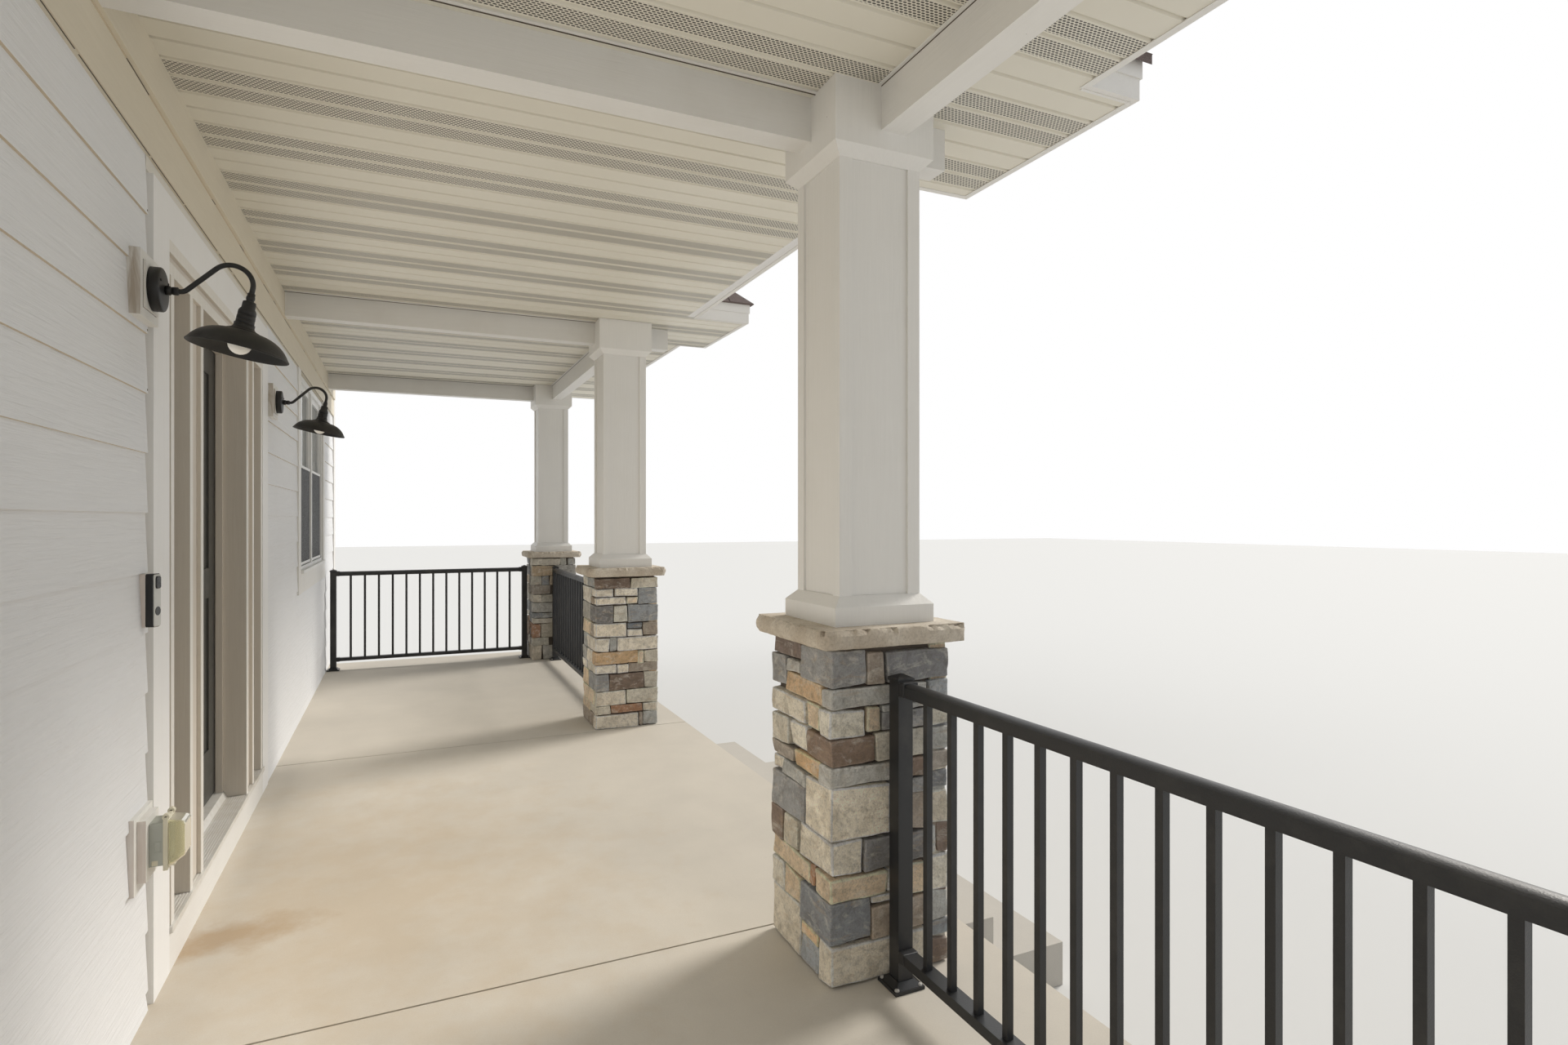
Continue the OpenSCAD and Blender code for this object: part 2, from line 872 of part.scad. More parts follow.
// Two slopes of the entry gable, down to the valleys
module gable_roof() {
    color(shingle) difference() {
        under_gable(deck_t, return_y - drip, 0);
        under_gable(0, return_y - drip - eps, eps);
        translate([-house_half, return_y - 2 * drip, fascia_z - 5 * deck_t])
            cube([2 * house_half, 2 * drip - return_y, 5 * deck_t - drip * gable_slope]);
        under_main(0);
    }
}

// Front wall of the gable, from the ceiling up to the roof
module gable_face() {
    color(siding) along_y(mid_y, mid_y + gable_t) polygon([
        [-return_in, ceiling_z], [return_in, ceiling_z], [return_in, fascia_z],
        [return_out, fascia_z], [0, fascia_z + return_out * gable_slope - roof_seat],
        [-return_out, fascia_z], [-return_in, fascia_z],
    ]);
}

// Outline of a sloped edge board on the right side
module rake_outline(depth) {
    ridge_z = fascia_z + return_out * gable_slope - roof_seat;
    polygon([
        [0, ridge_z - depth], [0, ridge_z], [return_out, fascia_z],
        [return_out - rake_h / gable_slope, fascia_z],
    ]);
}

// Outline of the thin soffit behind a sloped edge board
module rake_soffit_outline() {
    low_z = fascia_z + return_out * gable_slope - rake_h - roof_seat;
    foot_x = return_out - rake_h / gable_slope;
    polygon([
        [0, low_z], [0, low_z + ceiling_t], [foot_x, fascia_z + ceiling_t], [foot_x, fascia_z],
    ]);
}

// Sloped edge boards of the gable with the soffit behind them
module rake_boards() {
    color(white) both() union() {
        along_y(return_y, return_y + fascia_t) rake_outline(rake_h);
        along_y(return_y + fascia_t, mid_y) rake_soffit_outline();
    }
}

// Small hipped roof on a return, up to the gable's face
module return_roof() {
    run = mid_y - return_y + drip;
    edge_x = return_in - drip;
    foot_x = return_out - rake_h / gable_slope;
    low_z = fascia_z + return_out * gable_slope - rake_h - 2 * roof_seat;
    intersection() {
        along_x(edge_x, return_out) polygon([
            [return_y - drip, fascia_z], [mid_y, fascia_z + run * return_slope],
            [mid_y, fascia_z],
        ]);
        along_y(return_y - drip, mid_y) polygon([
            [edge_x, fascia_z], [edge_x + run, fascia_z + run * return_slope],
            [return_out, fascia_z + run * return_slope], [return_out, fascia_z],
        ]);
        along_y(return_y - drip, mid_y) polygon([
            [0, fascia_z], [0, low_z], [foot_x, fascia_z],
        ]);
    }
}

module return_roofs() {
    color(shingle) both() return_roof();
}

// Section of a top rail with its rounded top, centred on the line that it follows
module rail_section() {
    union() {
        translate([-rail_w / 2, 0]) square([rail_w, top_rail_h - rail_w / 4]);
        intersection() {
            translate([0, top_rail_h - rail_w * 0.75]) circle(r = rail_w * 0.75, $fn = 48);
            translate([-rail_w / 2, 0]) square([rail_w, top_rail_h]);
        }
    }
}

// Railing panel from x0 to x1 on the line y = 0
module rail_panel(x0, x1) {
    length = x1 - x0;
    count = ceil(length / baluster_step) - 1;
    pitch = length / (count + 1);
    low_z = floor_z + rail_gap;
    high_z = floor_z + rail_h - top_rail_h;
    color(black) union() {
        translate([0, 0, high_z]) along_x(x0, x1) rail_section();
        translate([x0, -rail_w / 2, low_z]) cube([length, rail_w, bottom_rail_h]);
        for (i = [1 : count])
            block(baluster_w, baluster_w, high_z - low_z, x0 + i * pitch, 0, low_z);
    }
}

// Front railing of the right side bay
module front_rail() {
    translate([0, column_y, 0])
        rail_panel(side_post_in + rail_post_w / 2, side_post_out - rail_post_w / 2);
}

module rail_front_right() {
    front_rail();
}

module rail_front_left() {
    mirror([1, 0, 0]) front_rail();
}

// Railing across the right end, from the wall to the end pier
module end_rail() {
    translate([end_x, 0, 0]) rotate(90)
        rail_panel(end_post_pier + rail_post_w / 2, end_post_wall - rail_post_w / 2);
}

module rail_end_right() {
    end_rail();
}

module rail_end_left() {
    mirror([1, 0, 0]) end_rail();
}

// A square block that narrows upwards, from one width to another
module taper(low_w, high_w, h, z) {
    translate([0, 0, z]) rotate(45)
        cylinder(d1 = low_w * sqrt(2), d2 = high_w * sqrt(2), h = h, $fn = 4);
}

// Railing post with its foot plate, sloped skirt and pyramid cap
module rail_post(x, y) {
    top_z = floor_z + rail_h + post_top - post_cap_h;
    translate([x, y, 0]) union() {
        block(foot_w, foot_w, foot_t, 0, 0, floor_z);
        taper(skirt_w, rail_post_w + 2 * skirt_lip, skirt_h, floor_z + foot_t);
        block(rail_post_w, rail_post_w, top_z - floor_z, 0, 0, floor_z);
        block(post_cap_w, post_cap_w, cap_band, 0, 0, top_z - cap_band);
        taper(post_cap_w, cap_point, post_cap_h, top_z);
    }
}

module rail_posts() {
    color(black) both() {
        rail_post(side_post_in, column_y);
        rail_post(side_post_out, column_y);
        rail_post(end_x, end_post_wall);
        rail_post(end_x, end_post_pier);
    }
}

// Left edge of each of a window's two units
function unit_x(i) = window_x - window_w / 2 + frame_w + i * (unit_w + unit_gap);

// Frame of a window with its sill, and the two sashes of each unit
module window_frame() {
    z0 = floor_z + window_bottom;
    z_in = z0 + frame_w;
    z_mid = floor_z + meeting_z;
    z_out = z0 + window_h - frame_w;
    union() {
        difference() {
            translate([window_x - window_w / 2, -window_face, z0])
                cube([window_w, window_depth, window_h]);
            for (i = [0, 1])
                translate([unit_x(i), -window_face - eps, z_in])
                    cube([unit_w, window_depth + 2 * eps, window_h - 2 * frame_w]);
        }
        for (i = [0, 1]) {
            sash(unit_x(i), z_in, unit_w, z_mid - z_in, lower_y, sash_w);
            sash(unit_x(i), z_mid - sash_w, unit_w, z_out - z_mid + sash_w, upper_y, sash_w);
        }
        translate([window_x - window_w / 2, -window_face - sill_lip, z0])
            cube([window_w, sill_lip + eps, frame_w / 2]);
    }
}

module window_frames() {
    color(white) both() window_frame();
}

// Panes of a window, four in all
module window_panes() {
    z_in = floor_z + window_bottom + frame_w;
    z_mid = floor_z + meeting_z;
    z_out = floor_z + window_bottom + window_h - frame_w;
    for (i = [0, 1]) {
        pane(unit_x(i), z_in, unit_w, z_mid - z_in, lower_y, sash_w);
        pane(unit_x(i), z_mid - sash_w, unit_w, z_out - z_mid + sash_w, upper_y, sash_w);
    }
}

// Panes of the windows and sidelights
module glass_panes() {
    color(glass) both() {
        window_panes();
        pane(light_in, sill_top, sidelight_w, head_z - sill_top, leaf_y, sash_w);
    }
}

// Casing boards beside and below a window
module window_case() {
    x0 = window_x - window_w / 2;
    x1 = window_x + window_w / 2;
    z0 = floor_z + window_bottom;
    z1 = floor_z + frieze_z;
    along_y(-trim_t, 0) polygon([
        [x0 - window_casing, z0 - window_casing], [x1 + window_casing, z0 - window_casing],
        [x1 + window_casing, z1], [x1, z1], [x1, z0], [x0, z0], [x0, z1],
        [x0 - window_casing, z1],
    ]);
}

module window_casings() {
    color(white) both() window_case();
}

// Distance of the lights and the outlet from the centre line
light_x = casing_out + light_gap + block_w / 2;

// Rim of a light's block around its raised middle
block_rim = 25;
block_rise = 6;

// Block behind a light, with its raised middle
module light_block() {
    union() {
        block(block_w, block_t - block_rise, block_h, 0, -(block_t - block_rise) / 2, -block_h / 2);
        block(block_w - 2 * block_rim, block_t, block_h - 2 * block_rim, 0, -block_t / 2,
            block_rim - block_h / 2);
    }
}

// Block behind the outlet: a rim that the siding runs up to, and the raised middle
module outlet_block() {
    union() {
        block(outlet_w, outlet_rim_t, outlet_h, 0, -outlet_rim_t / 2, -outlet_h / 2);
        block(outlet_w - 2 * outlet_rim, block_t, outlet_h - 2 * outlet_rim + cover_up, 0, -block_t / 2,
            outlet_rim - outlet_h / 2);
    }
}

// White blocks on the wall, behind the two lights, the outlet and the bell
module mount_blocks() {
    color(white) {
        both() translate([light_x, 0, floor_z + light_z]) light_block();
        translate([-light_x, 0, floor_z + outlet_z]) outlet_block();
        translate([-bell_x, 0, floor_z + bell_z - bell_h / 2]) bell_wedge();
    }
}

// Path of the light's arm, out from its block and up over to the socket
bend_at = 62;
bend_r = 24;
crook_at = 184;
crook_up = 38;
crook_r = 52;
drop_l = 40;
bead_r = 0.4;
bead_gap = 0.2;
arm_rise = asin((bend_r + crook_r) / norm([crook_at - bend_at, crook_up - bend_r]))
    + atan2(crook_up - bend_r, crook_at - bend_at);
arm_l = sqrt(pow(crook_at - bend_at, 2) + pow(crook_up - bend_r, 2) - pow(bend_r + crook_r, 2));
socket_out = crook_at + crook_r * cos(shade_lean) - drop_l * sin(shade_lean);
socket_up = crook_up - crook_r * sin(shade_lean) - drop_l * cos(shade_lean);

// Radii and heights of a light's socket, from its thin top down to its end
socket_top_r = 18;
socket_top_h = 24;
socket_cone_h = 8;
socket_r = 23;
socket_h = 68;

// Sheet of a light's shade: a neck round the socket, a flare and a dome that is an arc
shade_t = 3;
shade_play = 0.2;
collar_r = socket_r + shade_play + shade_t;
flare_r = 14;
crown_r = collar_r + flare_r;
dome_r = (pow(shade_r - crown_r, 2) + pow(dome_h, 2)) / (2 * dome_h);
arc_steps = 10;
bulb_neck_r = 13;
bulb_wide_r = 0.85 * bulb_r;

// A straight stretch of the arm from a point, in a direction above the level, with a bead
// at each end that joins it to what follows
module arm_rod(out, up, rise, length) {
    translate([0, -out, up]) rotate([90 - rise, 0, 0]) {
        translate([0, 0, bead_gap]) cylinder(r = arm_r, h = length - 2 * bead_gap, $fn = 24);
        for (end = [0, length]) translate([0, 0, end]) sphere(r = arm_r + bead_r, $fn = 24);
    }
}

// A curved stretch of the arm around a centre, between two directions from it
module arm_curve(out, up, radius, from, turn) {
    translate([0, -out, up]) rotate([90, 0, -90]) rotate(from)
        rotate_extrude(angle = turn, $fn = 96) translate([radius, 0]) circle(r = arm_r, $fn = 24);
}

// A light's wall plate, arm and socket
module light_arm() {
    union() {
        rotate([90, 0, 0]) cylinder(r = plate_r, h = plate_t);
        arm_rod(plate_t - arm_r, 0, 0, bend_at - plate_t + arm_r);
        arm_curve(bend_at, bend_r, bend_r, -90, arm_rise);
        arm_rod(bend_at + bend_r * sin(arm_rise), bend_r - bend_r * cos(arm_rise), arm_rise, arm_l);
        arm_curve(crook_at, crook_up, crook_r, -shade_lean, 90 + arm_rise + shade_lean);
        arm_rod(socket_out, socket_up, 90 - shade_lean, drop_l);
        translate([0, -socket_out, socket_up]) rotate([shade_lean, 0, 0])
            rotate_extrude() polygon([
                [0, 0], [socket_top_r, 0], [socket_top_r, -socket_top_h],
                [socket_r, -socket_top_h - socket_cone_h], [socket_r, -socket_h], [0, -socket_h],
            ]);
    }
}

// Place of a light on its block
module at_light() {
    translate([light_x, -block_t, floor_z + light_z]) children();
}

module light_arms() {
    color(black) both() at_light() light_arm();
}

// Points of the dome from its crown to its rim, at a depth inside its outer face
function dome_points(depth) = [
    for (i = [0:arc_steps])
        let (a = acos((dome_r - dome_h) / (dome_r - depth)) * i / arc_steps)
            [crown_r + (dome_r - depth) * sin(a), dome_h - dome_r + (dome_r - depth) * cos(a)],
];

// Points of the flare from the neck out to the dome's crown, at a depth inside its outer face
function flare_points(depth) = [
    for (i = [0:arc_steps - 1])
        let (a = 90 * i / arc_steps)
            [crown_r - (flare_r + depth) * cos(a), dome_h + flare_r - (flare_r + depth) * sin(a)],
];

function reversed(list) = [for (i = [len(list) - 1:-1:0]) list[i]];

// Half section of a shade, with its axis upright and its rim at z = 0
module shade_section() {
    polygon(concat(
        [[collar_r, shade_h]], flare_points(0), dome_points(0),
        reversed(dome_points(shade_t)), reversed(flare_points(shade_t)),
        [[collar_r - shade_t, shade_h]]
    ));
}

// Place at the end of a light's socket, in line with the leaning shade
module at_socket() {
    at_light() translate([0, -socket_out, socket_up]) rotate([shade_lean, 0, 0])
        translate([0, 0, -socket_h]) children();
}

module light_shades() {
    color(black) both() at_socket() translate([0, 0, shade_t - shade_h])
        rotate_extrude() shade_section();
}

// Bulb that hangs from the socket: a neck that widens, and a round end
module light_bulbs() {
    reach = shade_h - shade_t - bulb_up;
    color(white) both() at_socket() translate([0, 0, -reach]) union() {
        cylinder(r1 = bulb_wide_r, r2 = bulb_neck_r, h = reach);
        sphere(r = bulb_r);
    }
}

// Wedge that turns the bell away from the entry
module bell_wedge() {
    linear_extrude(height = bell_h) polygon([
        [-bell_w / 2, 0], [-bell_w / 2, -wedge_low], [bell_w / 2, -wedge_high], [bell_w / 2, 0],
    ]);
}

// Doorbell, standing square on its wedge
module doorbell() {
    turn = atan2(wedge_low - wedge_high, bell_w);
    color(black) translate([-bell_x - bell_w / 2, -wedge_low, floor_z + bell_z - bell_h / 2])
        rotate(turn) translate([0, -bell_t, 0])
            cube([norm([bell_w, wedge_high - wedge_low]), bell_t, bell_h]);
}

// Weather cover of the outlet: a grey box, a frame on it, and the deep lid with its two knuckles
module outlet_cover() {
    color(limestone) translate([-light_x, -block_t, floor_z + outlet_z + cover_up]) union() {
        block(box_w, box_t + eps, box_h, 0, -(box_t + eps) / 2, -box_h / 2);
        block(cover_w, cover_t, cover_h, 0, -box_t - cover_t / 2, -cover_h / 2);
        translate([0, -box_t - cover_t + eps, 0]) along_x(-lid_w / 2, lid_w / 2) polygon([
            [0, -lid_h / 2], [-lid_t - eps, -lid_h / 2 + lid_slope],
            [-lid_t - eps, lid_h / 2 - lid_top], [0, lid_h / 2],
        ]);
        for (side = sides)
            translate([side * (lid_w - knuckle_w) / 2 - knuckle_w / 2, -box_t - cover_t / 2, cover_h / 2])
                rotate([0, 90, 0]) cylinder(r = knuckle_r, h = knuckle_w);
    }
}

foundation();
porch_slab();
upper_step();
lower_step();
wall_left();
wall_right();
wall_over_door();
frieze_boards();
corner_boards();
entry_frame();
entry_casing();
entry_sill();
entry_riser();
sidelight_sashes();
front_door();
door_hardware();
hinge_plates();
stone_piers();
pier_caps();
column_shafts();
column_bases();
column_capitals();
cross_beams();
front_beams();
ceiling_left();
ceiling_mid();
ceiling_right();
fascia_left();
fascia_right();
main_roof();
gable_roof();
gable_face();
rake_boards();
return_roofs();
rail_front_left();
rail_front_right();
rail_end_left();
rail_end_right();
rail_posts();
window_frames();
window_casings();
glass_panes();
mount_blocks();
light_arms();
light_shades();
light_bulbs();
doorbell();
outlet_cover();
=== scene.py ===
import math
import random

import bpy
import numpy as np
from mathutils import Matrix, Vector, noise


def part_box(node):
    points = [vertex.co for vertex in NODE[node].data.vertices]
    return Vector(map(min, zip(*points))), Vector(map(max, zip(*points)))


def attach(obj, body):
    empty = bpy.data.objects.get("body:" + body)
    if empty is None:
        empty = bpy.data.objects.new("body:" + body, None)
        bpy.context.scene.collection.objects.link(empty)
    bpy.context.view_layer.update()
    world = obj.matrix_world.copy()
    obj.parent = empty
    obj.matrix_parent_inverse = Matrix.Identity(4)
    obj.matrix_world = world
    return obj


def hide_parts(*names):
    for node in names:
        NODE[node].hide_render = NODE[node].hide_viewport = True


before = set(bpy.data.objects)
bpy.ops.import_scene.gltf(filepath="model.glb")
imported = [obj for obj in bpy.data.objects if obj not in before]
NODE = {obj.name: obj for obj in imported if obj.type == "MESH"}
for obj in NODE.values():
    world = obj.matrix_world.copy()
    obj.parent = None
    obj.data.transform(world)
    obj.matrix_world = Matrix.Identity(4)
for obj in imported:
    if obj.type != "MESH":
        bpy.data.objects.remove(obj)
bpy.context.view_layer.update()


def points(node):
    return [v.co for v in NODE[node].data.vertices]


def ends(values):
    values = list(values)
    return min(values), max(values)


def levels(node, axis, right=False):
    """The places along one axis at which a node has corners, low to high."""
    return sorted({round(p[axis], 4) for p in points(node) if p.x > 0 or not right})


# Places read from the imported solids, in metres
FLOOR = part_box("porch_slab")[1].z
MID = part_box("ceiling_mid")
CEIL = MID[0].z
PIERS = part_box("stone_piers")
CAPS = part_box("pier_caps")
COL_Y = (PIERS[0].y + PIERS[1].y) / 2
PIER_W = PIERS[1].y - PIERS[0].y
END_X = PIERS[1].x - PIER_W / 2
ENTRY_X = min(p.x for p in points("stone_piers") if p.x > 0) + PIER_W / 2
COLUMNS = [-END_X, -ENTRY_X, ENTRY_X, END_X]
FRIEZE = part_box("frieze_boards")
CORNER_X = FRIEZE[1].x
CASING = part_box("entry_casing")
WALL_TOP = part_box("wall_right")[1].z
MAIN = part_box("main_roof")
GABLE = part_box("gable_roof")
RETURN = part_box("return_roofs")

# Width of a ceiling board, the period of four boards, and the place of a joint left of the middle
BOARD = 0.10555
PERIOD = 4 * BOARD
JOINT = 0.123
# Spacing of the holes in the perforated boards, and how far they reach from the pair's middle joint
HOLE_X, HOLE_Y = 0.0095, 0.0140
HOLES_FROM, HOLES_TO = 0.0135, 0.0905
# Front edge of the entry's darker, browner faces, behind their white strips
STRIP_Y = -0.0235
# Height over the floor that parts the lamps' blocks from the outlet's
HIGH_BLOCK = 1.6
# Height of a shingle row, of a siding board over the next, and of the first board's foot
SHINGLE = 0.143
LAP = 0.170
LAP_0 = 0.057
# Width of the channel beside the entry's casing
CHANNEL = 0.032


# Node materials

OPS = {"+": "ADD", "-": "SUBTRACT", "*": "MULTIPLY", "/": "DIVIDE", "<": "LESS_THAN", ">": "GREATER_THAN"}


class Tree:
    """Adds nodes to a node tree."""

    def __init__(self, tree):
        self.t = tree

    def node(self, kind, props=None, **inputs):
        """A node with its settings and inputs; i0, i1 and so on stand for numbered inputs."""
        n = self.t.nodes.new("ShaderNode" + kind)
        for k, v in (props or {}).items():
            setattr(n, k, v)
        for k, v in inputs.items():
            s = n.inputs[int(k[1:]) if k[0] == "i" and k[1:].isdigit() else k.replace("_", " ")]
            if isinstance(v, bpy.types.NodeSocket):
                self.t.links.new(v, s)
            elif isinstance(v, (tuple, list)) and s.type == "RGBA" and len(v) == 3:
                s.default_value = (*v, 1)
            else:
                s.default_value = v
        return n.outputs

    def add(self, kind, out=0, props=None, **inputs):
        return self.node(kind, props, **inputs)[out]

    def coords(self, scale=(1, 1, 1)):
        return self.add("Mapping", Vector=self.add("TexCoord", out=3), Scale=scale)

    def xyz(self, vector=None):
        return tuple(self.node("SeparateXYZ", Vector=vector or self.coords()))

    def noise(self, scale=5, detail=4, rough=0.5, at=None, distort=0.0):
        return self.add("TexNoise", Vector=at or self.coords(), Scale=scale, Detail=detail,
                        Roughness=rough, Distortion=distort)

    def math(self, op, a, b=0.0):
        return self.add("Math", props={"operation": OPS.get(op, op)}, i0=a, i1=b)

    def fit(self, v, a, b, lo=0.0, hi=1.0):
        return self.add("MapRange", Value=v, From_Min=a, From_Max=b, To_Min=lo, To_Max=hi)

    def mix(self, fac, a, b, how="MIX"):
        return self.add("Mix", 2, {"data_type": "RGBA", "blend_type": how}, i0=fac, i6=a, i7=b)


class Net(Tree):
    """A node material on one Principled shader."""

    def __init__(self, name, color=(0.8, 0.8, 0.8), rough=0.5, metal=0.0):
        self.m = bpy.data.materials.new(name)
        self.m.use_nodes = True
        super().__init__(self.m.node_tree)
        self.b = self.t.nodes["Principled BSDF"]
        self.b.inputs["Base Color"].default_value = (*color, 1)
        self.b.inputs["Roughness"].default_value = rough
        self.b.inputs["Metallic"].default_value = metal

    def color(self, s):
        self.t.links.new(s, self.b.inputs["Base Color"])

    def rough(self, s):
        self.t.links.new(s, self.b.inputs["Roughness"])

    def bump(self, h, dist=0.002):
        """Sets the relief and returns the finished material."""
        self.t.links.new(self.add("Bump", Height=h, Distance=dist, Strength=1.0), self.b.inputs["Normal"])
        return self.m


def shade(c, k):
    return tuple(min(1.0, v * k) for v in c)


BROWNED = (0.46, 0.40, 0.31)
SPECK = (0.10, 0.08, 0.06)
STRIP_WHITE = (0.80, 0.78, 0.74)
BLOCK_WHITE = (0.79, 0.78, 0.75)
SOFFIT_CREAM = (0.75, 0.72, 0.63)
WHITE = (0.80, 0.79, 0.765)


def grained(n, axis):
    """Noise drawn out along one axis."""
    fine = 95
    scale = [fine] * 3
    scale["XYZ".index(axis)] = fine * 0.045
    return n.noise(1.0, 5, 0.6, n.coords(tuple(scale)), 0.6)


def paint(name, color, axis, grain=0.0012, dirt=0.5, specks=0.0, rough=0.55):
    """Painted wood or fibre board with a grain along one axis, soft dirt and dark specks."""
    n = Net(name, color, rough)
    g = grained(n, axis)
    col = n.mix(n.fit(g, 0.35, 0.75, 0.0, 0.10), color, shade(color, 0.80))
    col = n.mix(n.fit(n.noise(1.7, 5, 0.6), 0.50, 0.85, 0.0, 0.30 * dirt), col, BROWNED)
    if specks:
        spot = n.add("TexVoronoi", Vector=n.coords(), Scale=11, Randomness=1)
        thin = n.math(">", n.noise(2.2, 2), 0.62 - 0.12 * specks)
        col = n.mix(n.math("*", n.math("<", spot, 0.014), thin), col, SPECK)
    n.color(col)
    n.rough(n.fit(g, 0.3, 0.8, rough - 0.06, rough + 0.1))
    return n.bump(g, grain)


M_SIDING = paint("siding_paint", (0.815, 0.825, 0.845), "X", 0.0030, 0.25, 0.3, 0.6)
M_TRIM_X = paint("trim_paint_x", WHITE, "X", 0.0008, 0.5, 0.5)
M_TRIM_Y = paint("trim_paint_y", shade(WHITE, 0.97), "Y", 0.0008, 0.9, 0.6)
M_TRIM_Z = paint("trim_paint_z", shade(WHITE, 1.01), "Z", 0.0010, 0.35, 1.0)
# Tan for the frieze: the white trim darkened and warmed as painted shade under the ceiling
M_FRIEZE_SHADED = paint("frieze_painted_shade", (0.71, 0.65, 0.53), "X", 0.0010, 0.7, 0.6)
M_CASING = paint("casing_paint", (0.87, 0.87, 0.87), "Z", 0.0010, 0.25, 0.6)
# Tan for the laps' undersides, partly bare wood and partly painted bounce light, and cream for the frieze's caulk
# and its painted edge highlights
M_TAN_EDGE_AND_PAINTED_LIGHT = paint("tan_edge_and_painted_light", (0.62, 0.53, 0.40), "X", 0.001, 1.0)
# A darker, warmer paint for the channel beside the casing: painted shade
M_CHANNEL_SHADED = paint("channel_painted_shade", (0.77, 0.745, 0.69), "Z", 0.001, 0.8, 0.4)
# Near black for the open gaps, which is painted shade, and for rusty nail heads and the outlet's pins
M_GAP_SHADE_NAILS_PINS = paint("gap_shade_nails_and_pins", (0.075, 0.055, 0.038), "X", 0.001, 0.3)
M_GABLE = paint("gable_paint", (0.80, 0.80, 0.80), "X", 0.0025, 0.3, 0.2)


def jamb_paint():
    """White strips along the front of the entry's frame, and darker, browner faces set back behind them."""
    n = Net("jamb_paint", STRIP_WHITE, 0.5)
    streak = grained(n, "Z")
    col = n.mix(n.math(">", n.xyz()[1], STRIP_Y), STRIP_WHITE, (0.68, 0.63, 0.56))
    n.color(n.mix(n.fit(streak, 0.35, 0.75, 0.0, 0.14), col, BROWNED))
    n.rough(n.fit(streak, 0.3, 0.8, 0.44, 0.6))
    return n.bump(streak, 0.0005)


def block_paint():
    """White blocks whose flank towards the near end is streaked brown, and on the low one pinkish, partly a tint
    and partly painted shade.
    """
    n = Net("block_paint", BLOCK_WHITE, 0.5)
    side = n.math("<", n.xyz(n.add("NewGeometry", out=1))[0], -0.6)
    streak = n.noise(1.0, 5, 0.6, n.coords((30, 30, 4)), 0.8)
    up = n.math(">", n.xyz()[2], FLOOR + HIGH_BLOCK)
    high = n.math("*", up, n.fit(streak, 0.42, 0.64, 0.15, 0.85))
    # On the low block the flank's pinkish brown is partly a tint and partly painted shade
    low = n.math("*", n.math("-", 1.0, up), n.fit(streak, 0.34, 0.66, 0.30, 0.60))
    col = n.mix(n.fit(n.noise(20, 4), 0.5, 0.8, 0.0, 0.12), BLOCK_WHITE, (0.5, 0.42, 0.32))
    col = n.mix(n.math("*", side, high), col, (0.36, 0.29, 0.215))
    n.color(n.mix(n.math("*", side, low), col, (0.60, 0.47, 0.41)))
    n.rough(n.fit(streak, 0.3, 0.7, 0.45, 0.65))
    return n.bump(streak, 0.0006)


def soffit():
    """Painted panels: two perforated boards and two plain ones in each period across X; the holes are dark dots
    of painted shade.
    """
    n = Net("soffit_paint", SOFFIT_CREAM, 0.45)
    x, y, _ = n.xyz()
    p = n.math("FRACT", n.math("/", n.math("+", x, 100 * PERIOD + JOINT + BOARD), PERIOD))
    half = n.math("ABSOLUTE", n.math("-", n.math("*", p, PERIOD), BOARD))
    band = n.math("*", n.math(">", half, HOLES_FROM), n.math("<", half, HOLES_TO))
    # The whole number 4000 keeps both counts above zero
    row = n.math("+", n.math("/", x, HOLE_X), 4000)
    odd = n.math("*", n.math("FLOOR", n.math("MODULO", row, 2)), 0.5)
    u = n.math("-", n.math("FRACT", row), 0.5)
    v = n.math("-", n.math("FRACT", n.math("+", n.math("/", y, HOLE_Y), n.math("+", odd, 4000))), 0.5)
    d = n.math("SQRT", n.math("+", n.math("*", n.math("*", u, u), 1.5), n.math("*", v, v)))
    # The holes are painted near black: painted shade of the space above them
    hole = n.math("*", n.math("<", d, 0.40), band)
    cloud = n.noise(1.3, 5)
    base = n.mix(n.fit(cloud, 0.45, 0.85, 0.0, 0.28), SOFFIT_CREAM, (0.60, 0.54, 0.42))
    n.color(n.mix(hole, base, (0.07, 0.06, 0.05)))
    n.rough(n.fit(cloud, 0.3, 0.8, 0.40, 0.55))
    return n.bump(n.math("*", hole, -1.0), 0.002)


# Brown stains by the door: place, half widths, colour, the noise values between which they fade, strength
STAINS = (((-0.73, -0.15), (0.16, 0.30), (0.36, 0.23, 0.12), 1.0, 0.15, 0.62),
          ((-0.60, -0.55), (1.5, 1.0), (0.50, 0.36, 0.20), 1.1, 0.1, 0.34))


